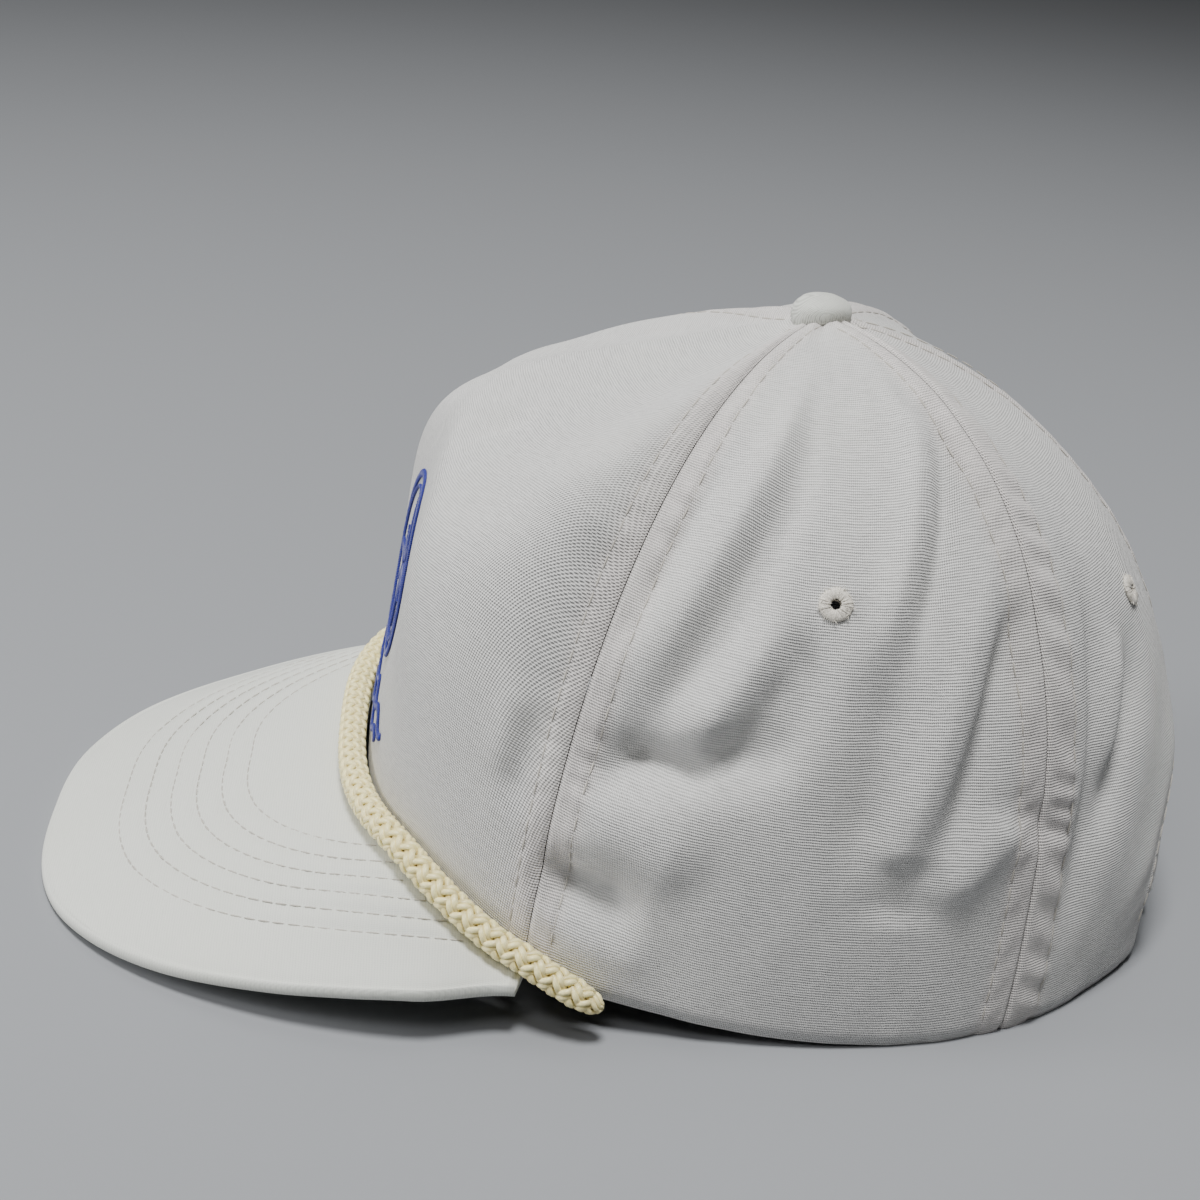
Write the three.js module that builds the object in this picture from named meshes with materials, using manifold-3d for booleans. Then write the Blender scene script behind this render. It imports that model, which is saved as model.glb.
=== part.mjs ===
// Five-panel cap with a flat-fronted crown, a curved peak and a cord across the front.
// Millimetres, +Z up. The peak points to -Y and the wearer's left is +X.
// The rim of the sides and back and the underside of the peak's tip lie at z = 0.

import * as THREE from "three";
import Module from "manifold-3d";
import { mergeVertices } from "three/addons/utils/BufferGeometryUtils.js";

// Crown
const crownHeight = 140;
const rimFrontReach = 98.2;
const rimBackReach = 100.2;
const rimHalfWidth = 86.1;
const rimFrontSquareness = 2.8;
const rimBackSquareness = 2;
const wall = 1.8;
const gap = 0.3;
const frontSeamTurn = 51.6;
const frontSeamBow = 0.9;
const backSeamTurn = 121.4;
const backSeamBow = 3.4;
const topHoleRadius = 4.8;
const profileLength = crownHeight * 1.286;

// Back opening and strap
const archHalfWidth = 44;
const archHeight = 48;
const archShare = 0.58;
const strapHeight = 15;
const strapThickness = 1.6;
const strapTuckTurn = 7;
const strapClearance = 1.2;
const pegCount = 7;
const pegSpacing = 8;
const pegRadius = 2;
const pegHeight = 1.1;

// Peak
const peakHalfWidth = rimHalfWidth + 7.9;
const peakProjection = 75;
const peakCurveCentre = 39.6;
const peakReach = rimFrontReach + peakProjection;
const peakLength = peakReach - peakCurveCentre;
const peakRoundness = 0.7;
const peakCornerAngle = 80;
const peakThickness = 3;
const peakCornerTurn = 52;
const peakBulge = 1.6;
const peakEdgeRoll = 0.9;

// Cord
const cordRadius = 3.1;
const cordEndTurn = 63;
const cordEndRise = 0.3;
const cordSteepness = 0.45;

// Top button
const buttonRadius = 7.4;
const buttonHeight = 5.2;
const buttonStemRadius = 4.3;
const buttonPlateRadius = 7;
const buttonPlateThickness = 1.4;

// Eyelets
const eyeletRadius = 4.1;
const eyeletHoleRadius = 1.2;
const eyeletSleeveRadius = 2.1;
const eyeletThickness = 0.8;

// Crown stations. turn: degrees from the middle of the front. rim and height: the lower edge
// and the shoulder, as shares of the crown height. reach: shoulder radius as a share of the rim
// radius. squareness: how tightly the profile turns at the shoulder.
const crownStations = [
  { turn: 0, rim: 0.1893, reach: 0.858, height: 0.86, squareness: 8.5 },
  { turn: 14, rim: 0.1893, reach: 0.895, height: 0.8, squareness: 10 },
  { turn: 30, rim: 0.191, reach: 0.99, height: 0.755, squareness: 7 },
  { turn: 54, rim: 0.0785, reach: 0.93, height: 0.925, squareness: 2.3 },
  { turn: 90, rim: 0.0107, reach: 1.02, height: 0.975, squareness: 2.33 },
  { turn: 110, rim: 0, reach: 1.005, height: 0.99, squareness: 2.45 },
  { turn: 122, rim: 0, reach: 0.99, height: 0.99, squareness: 2.5 },
  { turn: 150, rim: 0, reach: 1.035, height: 0.915, squareness: 2.2 },
  { turn: 180, rim: 0, reach: 1.2, height: 0.91, squareness: 1.95 },
];

// Soft folds of the cloth, left side positive. turn and rise give both ends, rise as a share
// of the way from the rim to the top. width and depth as shares of the crown height, a depth
// below zero is a valley.
const folds = [
  { turn: 75.5, rise: 0.79, turnEnd: 60.5, riseEnd: 0.42, width: 0.05, depth: 0.012 },
  { turn: 78.5, rise: 0.69, turnEnd: 61, riseEnd: 0.33, width: 0.043, depth: -0.014 },
  { turn: 84, rise: 0.49, turnEnd: 79.5, riseEnd: 0.35, width: 0.043, depth: -0.014 },
  { turn: 79.5, rise: 0.35, turnEnd: 57, riseEnd: 0.29, width: 0.046, depth: -0.021 },
  { turn: 79, rise: 0.49, turnEnd: 68, riseEnd: 0.35, width: 0.043, depth: 0.011 },
  { turn: 109.5, rise: 0.75, turnEnd: 97.5, riseEnd: 0.5, width: 0.043, depth: 0.009 },
  { turn: 117, rise: 0.74, turnEnd: 101.5, riseEnd: 0.49, width: 0.036, depth: -0.013 },
  { turn: 98.5, rise: 0.46, turnEnd: 94, riseEnd: 0.24, width: 0.05, depth: -0.012 },
  { turn: 116.5, rise: 0.56, turnEnd: 101.5, riseEnd: 0.25, width: 0.05, depth: 0.011 },
  { turn: 119.5, rise: 0.51, turnEnd: 107.5, riseEnd: 0.26, width: 0.043, depth: -0.016 },
  { turn: 119, rise: 0.28, turnEnd: 108, riseEnd: 0.2, width: 0.043, depth: 0.012 },
  { turn: 52, rise: 0.13, turnEnd: 64, riseEnd: 0.13, width: 0.05, depth: -0.018 },
  { turn: 56.5, rise: 0.23, turnEnd: 71, riseEnd: 0.2, width: 0.064, depth: 0.012 },
  { turn: 101.5, rise: 0.24, turnEnd: 100.5, riseEnd: 0.17, width: 0.05, depth: -0.009 },
  { turn: 143, rise: 0.51, turnEnd: 132, riseEnd: 0.15, width: 0.039, depth: -0.014 },
  { turn: 147, rise: 0.44, turnEnd: 139.5, riseEnd: 0.31, width: 0.036, depth: 0.009 },
  { turn: 153, rise: 0.43, turnEnd: 137.5, riseEnd: 0.23, width: 0.039, depth: -0.018 },
  { turn: 166, rise: 0.3, turnEnd: 147.5, riseEnd: 0.1, width: 0.039, depth: 0.009 },
  { turn: 10, rise: 0.5, turnEnd: 16, riseEnd: 0.59, width: 0.043, depth: -0.009 },
  { turn: 22, rise: 0.5, turnEnd: 38, riseEnd: 0.56, width: 0.05, depth: 0.006 },
  { turn: 38, rise: 0.56, turnEnd: 47.5, riseEnd: 0.52, width: 0.043, depth: 0.006 },
  { turn: -76, rise: 0.72, turnEnd: -62, riseEnd: 0.4, width: 0.05, depth: -0.013 },
  { turn: -84, rise: 0.5, turnEnd: -60, riseEnd: 0.3, width: 0.05, depth: -0.019 },
  { turn: -108, rise: 0.72, turnEnd: -98, riseEnd: 0.4, width: 0.05, depth: 0.011 },
  { turn: -117, rise: 0.7, turnEnd: -104, riseEnd: 0.36, width: 0.043, depth: -0.014 },
  { turn: -55, rise: 0.14, turnEnd: -66, riseEnd: 0.15, width: 0.05, depth: -0.016 },
  { turn: -141, rise: 0.52, turnEnd: -132, riseEnd: 0.2, width: 0.043, depth: -0.014 },
  { turn: -154, rise: 0.46, turnEnd: -140, riseEnd: 0.24, width: 0.043, depth: -0.016 },
  { turn: -30, rise: 0.52, turnEnd: -46, riseEnd: 0.55, width: 0.05, depth: 0.006 },
];

// Peak edge. turn: 0 at the tip, 90 at the corner. height: of the lower edge above the ground.
// pull: how far the outline draws in toward the crown. Both as shares of the peak length.
const peakEdge = [
  { turn: 0, height: 0.0037, pull: 0 },
  { turn: 16, height: 0, pull: 0 },
  { turn: 31.5, height: 0.0097, pull: 0 },
  { turn: 47, height: 0.024, pull: 0 },
  { turn: 63, height: 0.0516, pull: 0 },
  { turn: 72, height: 0.0685, pull: 0.0037 },
  { turn: 79, height: 0.077, pull: 0.012 },
  { turn: 90, height: 0.0735, pull: 0.0636 },
];

// Eyelets. turn in degrees, height of the middle as a share of the crown height.
const eyelets = [
  { name: "left_side_eyelet", panel: "left_side_panel", turn: 88, height: 0.693 },
  { name: "left_back_eyelet", panel: "left_back_panel", turn: 159, height: 0.629 },
  { name: "right_side_eyelet", panel: "right_side_panel", turn: -88, height: 0.693 },
  { name: "right_back_eyelet", panel: "right_back_panel", turn: -159, height: 0.629 },
];

const clothColour = 0xd2d1cd;
const seamClothColour = 0xd6d4d0;
const cordColour = 0xe6e0c4;
const plasticColour = 0xe2e2de;

const degrees = Math.PI / 180;
const profileSteps = 48;

// Value of one column of a table at a turn, by a cubic that never overshoots its rows.
function column(table, name, turn) {
  const at = Math.abs(turn);
  let row = 0;
  while (row < table.length - 2 && at > table[row + 1].turn) {
    row += 1;
  }
  const slope = (k) => (table[k + 1][name] - table[k][name]) / (table[k + 1].turn - table[k].turn);
  const tangent = (k) => {
    if (k === 0 || k === table.length - 1) {
      return 0;
    }
    const before = slope(k - 1);
    const after = slope(k);
    return before * after <= 0 ? 0 : (2 * before * after) / (before + after);
  };
  const span = table[row + 1].turn - table[row].turn;
  const s = Math.min(1, (at - table[row].turn) / span);
  const low = table[row][name];
  const high = table[row + 1][name];
  const h = s * s * (3 - 2 * s);
  const rise = s * (1 - s) * ((1 - s) * tangent(row) - s * tangent(row + 1)) * span;
  return low + (high - low) * h + rise;
}

function rimRadius(turn) {
  const c = Math.cos(turn * degrees);
  const s = Math.abs(Math.sin(turn * degrees));
  const reach = c > 0 ? rimFrontReach : rimBackReach;
  const n = c > 0 ? rimFrontSquareness : rimBackSquareness;
  return ((Math.abs(c) / reach) ** n + (s / rimHalfWidth) ** n) ** (-1 / n);
}

// Crown profile at a turn, from the rim to the top, as points with their length from the rim.
function profile(turn) {
  const rim = rimRadius(turn);
  const rimHeight = crownHeight * column(crownStations, "rim", turn);
  const shoulder = rim * column(crownStations, "reach", turn);
  const shoulderHeight = crownHeight * column(crownStations, "height", turn);
  const n = column(crownStations, "squareness", turn);
  const centre = rim - shoulder;
  const centreHeight = rimHeight + crownHeight - shoulderHeight;
  const points = [];
  let length = 0;
  for (let k = 0; k <= profileSteps; k += 1) {
    const angle = (k / profileSteps) * (Math.PI / 2);
    const c = Math.cos(angle);
    const s = Math.sin(angle);
    const scale = (Math.abs(c) ** n + s ** n) ** (-1 / n);
    const radius = centre + c * scale * (rim - centre) - s * scale * centre;
    const height =
      centreHeight + c * scale * (rimHeight - centreHeight) + s * scale * (crownHeight - centreHeight);
    if (k > 0) {
      const last = points[k - 1];
      length += Math.hypot(radius - last.radius, height - last.height);
    }
    points.push({ radius, height, length });
  }
  return points;
}

// First point of a profile where a key reaches a value, between its points.
function profileAt(points, key, value, falling = false) {
  const sign = falling ? -1 : 1;
  let k = 1;
  while (k < points.length - 1 && sign * points[k][key] < sign * value) {
    k += 1;
  }
  const a = points[k - 1];
  const b = points[k];
  const s = (value - a[key]) / (b[key] - a[key] || 1);
  return {
    radius: a.radius + (b.radius - a.radius) * s,
    height: a.height + (b.height - a.height) * s,
    length: a.length + (b.length - a.length) * s,
  };
}

function smooth(x) {
  const s = Math.min(1, Math.max(0, x));
  return s * s * (3 - 2 * s);
}

// How far the cloth stands off the plain crown at a turn and rise.
function foldDepth(turn, rise) {
  let depth = 0;
  for (const fold of folds) {
    const dx = (fold.turnEnd - fold.turn) * degrees * rimHalfWidth;
    const dy = (fold.riseEnd - fold.rise) * profileLength;
    const x = (turn - fold.turn) * degrees * rimHalfWidth;
    const y = (rise - fold.rise) * profileLength;
    const length = Math.hypot(dx, dy);
    const along = (x * dx + y * dy) / (length * length);
    const aside = (x * dy - y * dx) / length;
    const ends = smooth((along + 0.25) / 0.5) * smooth((1.25 - along) / 0.5);
    const share = aside / (fold.width * crownHeight);
    depth += fold.depth * crownHeight * ends * Math.exp(-(share ** 2));
  }
  return depth * smooth(rise / 0.14) * smooth((0.92 - rise) / 0.12);
}

function crownPoint(turn, rise) {
  const points = profile(turn);
  const total = points[points.length - 1].length;
  const at = profileAt(points, "length", rise * total);
  const angle = turn * degrees;
  return new THREE.Vector3(at.radius * Math.sin(angle), -at.radius * Math.cos(angle), at.height);
}

// Outward direction of the plain crown.
function crownNormal(turn, rise) {
  const low = Math.max(0, rise - 0.01);
  const high = Math.min(0.995, rise + 0.01);
  const up = crownPoint(turn, high).sub(crownPoint(turn, low));
  const round = crownPoint(turn + 0.8, rise).sub(crownPoint(turn - 0.8, rise));
  return round.cross(up).normalize();
}

function clothPoint(turn, rise) {
  const depth = foldDepth(turn, rise);
  return crownPoint(turn, rise).addScaledVector(crownNormal(turn, rise), depth);
}

// Outward direction of the folded cloth, over a patch as wide as an eyelet.
function clothNormal(turn, rise) {
  const up = clothPoint(turn, rise + 0.018).sub(clothPoint(turn, rise - 0.018));
  const round = clothPoint(turn + 2.4, rise).sub(clothPoint(turn - 2.4, rise));
  return round.cross(up).normalize();
}

function riseAtHeight(turn, height) {
  const points = profile(turn);
  const total = points[points.length - 1].length;
  return profileAt(points, "height", height).length / total;
}

function riseAtRadius(turn, radius) {
  const points = profile(turn);
  const total = points[points.length - 1].length;
  return profileAt(points, "radius", radius, true).length / total;
}

// Closed body from loops of equal length. The loops' near sides run up and their far sides
// run back down, so both end loops are closed by strips between the two sides.
function loft(loops, cyclic = false) {
  const size = loops[0].length;
  const positions = [];
  const faces = [];
  for (const loop of loops) {
    for (const point of loop) {
      positions.push(point.x, point.y, point.z);
    }
  }
  const steps = cyclic ? loops.length : loops.length - 1;
  for (let i = 0; i < steps; i += 1) {
    const a = i * size;
    const b = ((i + 1) % loops.length) * size;
    for (let k = 0; k < size; k += 1) {
      const next = (k + 1) % size;
      faces.push(a + k, b + k, b + next);
      faces.push(a + k, b + next, a + next);
    }
  }
  if (!cyclic) {
    const last = (loops.length - 1) * size;
    for (let k = 0; k < Math.floor((size - 1) / 2); k += 1) {
      const near = k;
      const far = size - 1 - k;
      faces.push(near, near + 1, far);
      faces.push(last + near, last + far, last + near + 1);
      if (far - 1 !== near + 1) {
        faces.push(near + 1, far - 1, far);
        faces.push(last + near + 1, last + far, last + far - 1);
      }
    }
  }
  return facedOut(positions, faces);
}

// Geometry with its faces turned outward, whichever way they were wound.
function facedOut(positions, faces) {
  let volume = 0;
  const corner = (k) => new THREE.Vector3().fromArray(positions, 3 * faces[k]);
  for (let k = 0; k < faces.length; k += 3) {
    volume += corner(k).dot(corner(k + 1).cross(corner(k + 2)));
  }
  if (volume < 0) {
    faces.reverse();
  }
  const geometry = new THREE.BufferGeometry();
  geometry.setAttribute("position", new THREE.Float32BufferAttribute(positions, 3));
  geometry.setIndex(faces);
  geometry.computeVertexNormals();
  return geometry;
}

const wasm = await Module();
wasm.setup();

function solid(geometry) {
  const bare = geometry.clone();
  bare.deleteAttribute("normal");
  bare.deleteAttribute("uv");
  const merged = mergeVertices(bare, 0.0001);
  const vertProperties = new Float32Array(merged.attributes.position.array);
  const triVerts = new Uint32Array(merged.index.array);
  return new wasm.Manifold(new wasm.Mesh({ numProp: 3, vertProperties, triVerts }));
}

function geometryOf(body) {
  const mesh = body.getMesh();
  return facedOut(Array.from(mesh.vertProperties), Array.from(mesh.triVerts));
}

const cap = new THREE.Group();
cap.name = "five_panel_cap";

function addPart(name, geometry, colour, roughness) {
  const material = new THREE.MeshStandardMaterial({ color: colour, roughness, metalness: 0 });
  const mesh = new THREE.Mesh(geometry, material);
  mesh.name = name;
  cap.add(mesh);
  return mesh;
}

const frontSeam = (rise) => frontSeamTurn + frontSeamBow * Math.sin(Math.PI * rise);
const backSeam = (rise) => backSeamTurn + backSeamBow * Math.sin(Math.PI * rise);

// Panels. low gives the turn and rise of a point of the lower edge, at a share across.
function plainLow(start, end) {
  return (across) => ({ turn: start(0) + (end(0) - start(0)) * across, rise: 0 });
}

// Lower edge of a back panel: along the rim, then up the arch to the middle of the back.
function archLow(across) {
  const archTurn = 180 - Math.asin(archHalfWidth / rimRadius(153)) / degrees;
  if (across <= 1 - archShare) {
    const share = across / (1 - archShare);
    return { turn: backSeamTurn + (archTurn - backSeamTurn) * share, rise: 0 };
  }
  const angle = ((across - 1 + archShare) / archShare) * (Math.PI / 2);
  const turn = 180 - (180 - archTurn) * Math.cos(angle);
  return { turn, rise: riseAtHeight(turn, archHeight * Math.sin(angle)) };
}

function panelGeometry({ start, end, low, side, columns, rows }) {
  const loops = [];
  for (let i = 0; i <= columns; i += 1) {
    const across = i / columns;
    const foot = low(across);
    const topTurn = start(1) + (end(1) - start(1)) * across;
    const topRise = riseAtRadius(topTurn, topHoleRadius);
    const footTurn = start(0) + (end(0) - start(0)) * across;
    const outside = [];
    const inside = [];
    for (let k = 0; k <= rows; k += 1) {
      const share = k / rows;
      const rise = foot.rise + (topRise - foot.rise) * share;
      const seamTurn = start(rise) + (end(rise) - start(rise)) * across;
      const lean = (foot.turn - footTurn) * (1 - share);
      const plain = crownPoint(side * seamTurn, rise);
      const radius = Math.hypot(plain.x, plain.y);
      const slit = gap + 0.7 * smooth((16 - radius) / 11);
      const turn = side * (seamTurn + lean + ((1 - 2 * across) * slit) / 2 / radius / degrees);
      const outer = clothPoint(turn, rise);
      const inner = outer.clone().addScaledVector(crownNormal(turn, rise), -wall);
      if (rise === 0) {
        inner.z = outer.z;
      }
      outside.push(outer);
      inside.push(inner);
    }
    loops.push([...outside, ...inside.reverse()]);
  }
  return loft(loops);
}

const panels = [
  {
    name: "front_panel",
    start: (rise) => -frontSeam(rise),
    end: frontSeam,
    side: 1,
    columns: 28,
    rows: 20,
  },
  { name: "left_side_panel", start: frontSeam, end: backSeam, side: 1, columns: 18, rows: 18 },
  { name: "right_side_panel", start: frontSeam, end: backSeam, side: -1, columns: 18, rows: 18 },
  { name: "left_back_panel", start: backSeam, end: () => 180, side: 1, columns: 16, rows: 16 },
  { name: "right_back_panel", start: backSeam, end: () => 180, side: -1, columns: 16, rows: 16 },
];

// Eyelet frame: its middle on the cloth and the outward direction there.
function eyeletPlace(eyelet) {
  const rise = riseAtHeight(eyelet.turn, eyelet.height * crownHeight);
  const middle = clothPoint(eyelet.turn, rise);
  const out = clothNormal(eyelet.turn, rise);
  const turned = new THREE.Quaternion().setFromUnitVectors(new THREE.Vector3(0, 1, 0), out);
  return { middle, turned };
}

function place(geometry, { middle, turned }) {
  geometry.applyQuaternion(turned);
  geometry.translate(middle.x, middle.y, middle.z);
  return geometry;
}

for (const panel of panels) {
  const low = panel.name.includes("back") ? archLow : plainLow(panel.start, panel.end);
  let geometry = panelGeometry({ ...panel, low });
  for (const eyelet of eyelets) {
    if (eyelet.panel === panel.name) {
      const drill = new THREE.CylinderGeometry(eyeletSleeveRadius + gap, eyeletSleeveRadius + gap, 16, 12);
      geometry = geometryOf(solid(geometry).subtract(solid(place(drill, eyeletPlace(eyelet)))));
    }
  }
  addPart(panel.name, geometry, clothColour, 0.95);
}

for (const eyelet of eyelets) {
  const ring = [
    [eyeletHoleRadius, -wall - 0.2],
    [eyeletSleeveRadius, -wall - 0.2],
    [eyeletSleeveRadius, gap + 0.25],
    [eyeletRadius, gap + 0.25],
    [eyeletRadius, gap + 0.25 + eyeletThickness / 2],
    [eyeletRadius - 0.6, gap + 0.25 + eyeletThickness],
    [eyeletHoleRadius, gap + 0.25 + eyeletThickness],
    [eyeletHoleRadius, -wall - 0.2],
  ].map(([x, y]) => new THREE.Vector2(x, y));
  const geometry = geometryOf(solid(place(new THREE.LatheGeometry(ring, 16), eyeletPlace(eyelet))));
  addPart(eyelet.name, geometry, seamClothColour, 0.85);
}

// Top button: a cloth dome that follows the crown, with a stem through the hole and a plate
// under the cloth, all one piece.
function buttonGeometry() {
  const loops = [];
  const sides = 24;
  const top = new THREE.Vector3(0, 0, crownHeight + buttonHeight);
  for (let i = 0; i < sides; i += 1) {
    const turn = (i / sides) * 360 - 180;
    const ring = (radius, lift) => {
      const rise = riseAtRadius(turn, radius);
      const point = crownPoint(turn, rise);
      return point.addScaledVector(crownNormal(turn, rise), lift);
    };
    const under = ring(buttonRadius - 0.6, gap + 0.15);
    const edge = ring(buttonRadius, 1.1);
    const stem = ring(buttonStemRadius, gap + 0.15);
    const foot = ring(buttonStemRadius, -wall - gap - 0.15);
    const plate = ring(buttonPlateRadius, -wall - gap - 0.15);
    const loop = [stem, under, edge];
    for (const [share, lift] of [[0.88, 0.55], [0.62, 0.84], [0.3, 0.97]]) {
      const height = crownHeight + buttonHeight * lift;
      const flat = new THREE.Vector3(edge.x * share, edge.y * share, 0);
      loop.push(flat.setZ(height));
    }
    loop.push(top);
    const below = crownHeight - wall - gap - buttonPlateThickness - 1.4;
    loop.push(new THREE.Vector3(0, 0, below));
    loop.push(new THREE.Vector3(plate.x * 0.96, plate.y * 0.96, below));
    loop.push(plate);
    loop.push(foot);
    loops.push(loop);
  }
  return geometryOf(solid(loft(loops, true)));
}
addPart("top_button", buttonGeometry(), seamClothColour, 0.95);

// Peak: one board with its cloth, curved from side to side and sloping to the tip.
function peakInner(share) {
  const turn = share * peakCornerTurn;
  const rim = rimRadius(turn) + gap + 0.1;
  const angle = turn * degrees;
  const height = crownHeight * column(crownStations, "rim", turn) - peakThickness / 2;
  return new THREE.Vector3(rim * Math.sin(angle), -rim * Math.cos(angle), height);
}

function peakOuter(share) {
  const angle = Math.abs(share) * peakCornerAngle * degrees;
  const pull = peakLength * column(peakEdge, "pull", Math.abs(share) * 90);
  const side = peakHalfWidth * Math.sin(angle) ** peakRoundness - pull;
  const forward = peakReach - peakLength * (1 - Math.cos(angle));
  const height = peakLength * column(peakEdge, "height", Math.abs(share) * 90);
  return new THREE.Vector3(Math.sign(share) * side, -forward, height);
}

// Point of the peak's underside, from its inner edge to its outer edge.
function peakPoint(share, out) {
  const point = peakInner(share).lerp(peakOuter(share), out);
  point.z += peakBulge * 4 * out * (1 - out) * Math.cos((share * Math.PI) / 2);
  return point;
}

function peakGeometry() {
  const loops = [];
  const columns = 32;
  const rows = 7;
  for (let i = 0; i <= columns; i += 1) {
    const share = (2 * i) / columns - 1;
    const from = peakInner(share);
    const to = peakOuter(share);
    const outward = to.clone().sub(from).setZ(0).normalize();
    const below = [];
    const above = [];
    for (let k = 0; k <= rows; k += 1) {
      const point = peakPoint(share, k / rows);
      below.push(point);
      above.push(point.clone().setZ(point.z + peakThickness));
    }
    const nose = to.clone().addScaledVector(outward, peakEdgeRoll);
    nose.z += peakThickness / 2;
    loops.push([...below, nose, ...above.reverse()]);
  }
  return loft(loops);
}
addPart("peak", peakGeometry(), clothColour, 0.95);

// Height of the cord's middle at a place, where it lies on the peak beside a share.
function cordHeight(x, y, share) {
  const reach = cordRadius + gap + 0.3;
  let height = 0;
  for (let side = -14; side <= 14; side += 1) {
    const at = Math.max(-1, Math.min(1, share + side * 0.006));
    for (let k = 0; k <= 14; k += 1) {
      const width = peakInner(at).distanceTo(peakOuter(at));
      const point = peakPoint(at, Math.min(1, (k * 0.5) / width));
      const aside = Math.hypot(point.x - x, point.y - y);
      if (aside < reach) {
        const lift = peakThickness + Math.sqrt(reach * reach - aside * aside);
        height = Math.max(height, point.z + lift);
      }
    }
  }
  return height;
}

// Middle of the cord at a turn, beside the rim and on the peak.
function cordPoint(turn) {
  const radius = rimRadius(turn) + gap + cordRadius + 0.15;
  const angle = turn * degrees;
  const x = radius * Math.sin(angle);
  const y = -radius * Math.cos(angle);
  const onRim = crownHeight * column(crownStations, "rim", turn) + cordEndRise;
  const height = Math.max(onRim, cordHeight(x, y, turn / peakCornerTurn));
  return new THREE.Vector3(x, y, height);
}

// Cord across the front, along the joint of the crown and the peak. From the front to each end
// it falls no more steeply than its own stiffness lets it, and so clears the peak's corner.
function cordGeometry() {
  const points = [];
  const half = 30;
  for (let i = -half; i <= half; i += 1) {
    points.push(cordPoint((i / half) * cordEndTurn));
  }
  for (let i = 1; i <= half; i += 1) {
    for (const side of [-1, 1]) {
      const point = points[half + side * i];
      const before = points[half + side * (i - 1)];
      const run = Math.hypot(point.x - before.x, point.y - before.y);
      point.z = Math.max(point.z, before.z - cordSteepness * run);
    }
  }
  const section = new THREE.Shape();
  section.absarc(0, 0, cordRadius, 0, 2 * Math.PI, false);
  return new THREE.ExtrudeGeometry(section, {
    steps: 56,
    curveSegments: 4,
    bevelEnabled: false,
    extrudePath: new THREE.CatmullRomCurve3(points),
  });
}
addPart("rope", cordGeometry(), cordColour, 0.6);

// Strap across the foot of the back opening, inside the cloth, with a row of press pegs.
function strapGeometry() {
  const archTurn = 180 - Math.asin(archHalfWidth / rimRadius(153)) / degrees;
  const from = archTurn - strapTuckTurn;
  const steps = 26;
  const loops = [];
  const outerRadius = (turn) => {
    let least = Infinity;
    for (const height of [0, 5, 10, 15, 20]) {
      const cloth = clothPoint(turn, riseAtHeight(turn, height));
      least = Math.min(least, Math.hypot(cloth.x, cloth.y));
    }
    return least - wall - gap - 0.1;
  };
  for (let i = 0; i <= steps; i += 1) {
    const turn = from + ((360 - 2 * from) * i) / steps;
    const angle = turn * degrees;
    const outer = outerRadius(turn > 180 ? turn - 360 : turn);
    const inner = outer - strapThickness;
    const at = (radius, z) => new THREE.Vector3(radius * Math.sin(angle), -radius * Math.cos(angle), z);
    const low = strapClearance;
    const high = strapClearance + strapHeight;
    loops.push([at(outer, low), at(outer, high), at(inner, high), at(inner, low)]);
  }
  let body = solid(loft(loops));
  for (let k = 0; k < pegCount; k += 1) {
    const turn = 180 + ((k - (pegCount - 1) / 2) * pegSpacing) / outerRadius(180) / degrees;
    const peg = new THREE.CylinderGeometry(pegRadius, pegRadius, pegHeight + 1, 10);
    const angle = turn * degrees;
    const out = new THREE.Vector3(Math.sin(angle), -Math.cos(angle), 0);
    const middle = out.clone().multiplyScalar(outerRadius(turn) + (pegHeight - 1) / 2);
    middle.z = strapClearance + strapHeight / 2;
    const turned = new THREE.Quaternion().setFromUnitVectors(new THREE.Vector3(0, 1, 0), out);
    body = body.add(solid(place(peg, { middle, turned })));
  }
  return geometryOf(body);
}
addPart("back_strap", strapGeometry(), plasticColour, 0.5);

// The origin lies on the ground under the middle of the whole cap.
const box = new THREE.Box3().setFromObject(cap);
cap.position.set(0, -(box.min.y + box.max.y) / 2, 0);
cap.updateMatrixWorld(true);

export default cap;
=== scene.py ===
"""Five-panel cap: poplin panels, braided cord, covered button, sewn eyelets and a quilted peak."""

import math

import bmesh
import bpy
import numpy as np
from mathutils import Matrix, Vector


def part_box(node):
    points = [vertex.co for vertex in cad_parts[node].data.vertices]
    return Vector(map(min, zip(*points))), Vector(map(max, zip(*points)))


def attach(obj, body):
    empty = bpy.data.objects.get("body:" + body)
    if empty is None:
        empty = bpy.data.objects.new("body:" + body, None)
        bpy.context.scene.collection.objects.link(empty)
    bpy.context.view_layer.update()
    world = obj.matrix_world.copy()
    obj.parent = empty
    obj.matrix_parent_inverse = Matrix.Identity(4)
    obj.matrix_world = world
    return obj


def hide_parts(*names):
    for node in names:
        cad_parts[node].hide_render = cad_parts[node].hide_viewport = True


bl_info = {
    "name": "Five-Panel Cap",
    "version": (1, 0, 0),
    "blender": (4, 5, 0),
    "location": "3D View > Sidebar > Cap",
    "description": "Cloth, stitching, cord and stage around the packed cap",
    "category": "Mesh",
}

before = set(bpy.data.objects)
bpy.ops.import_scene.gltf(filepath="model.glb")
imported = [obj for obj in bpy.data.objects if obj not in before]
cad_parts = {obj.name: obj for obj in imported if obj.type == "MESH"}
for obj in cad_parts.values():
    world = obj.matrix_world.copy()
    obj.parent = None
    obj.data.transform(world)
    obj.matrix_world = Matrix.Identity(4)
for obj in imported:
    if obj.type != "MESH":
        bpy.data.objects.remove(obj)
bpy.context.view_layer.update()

# The crown's own middle line stands this far behind the middle of the whole cap, in metres.
CROWN_Y = 0.0375
PROFILE_STEPS = 96
# The crown's profile from the rim to the top is about this many times its height.
PROFILE_LENGTH = 1.286
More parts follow.
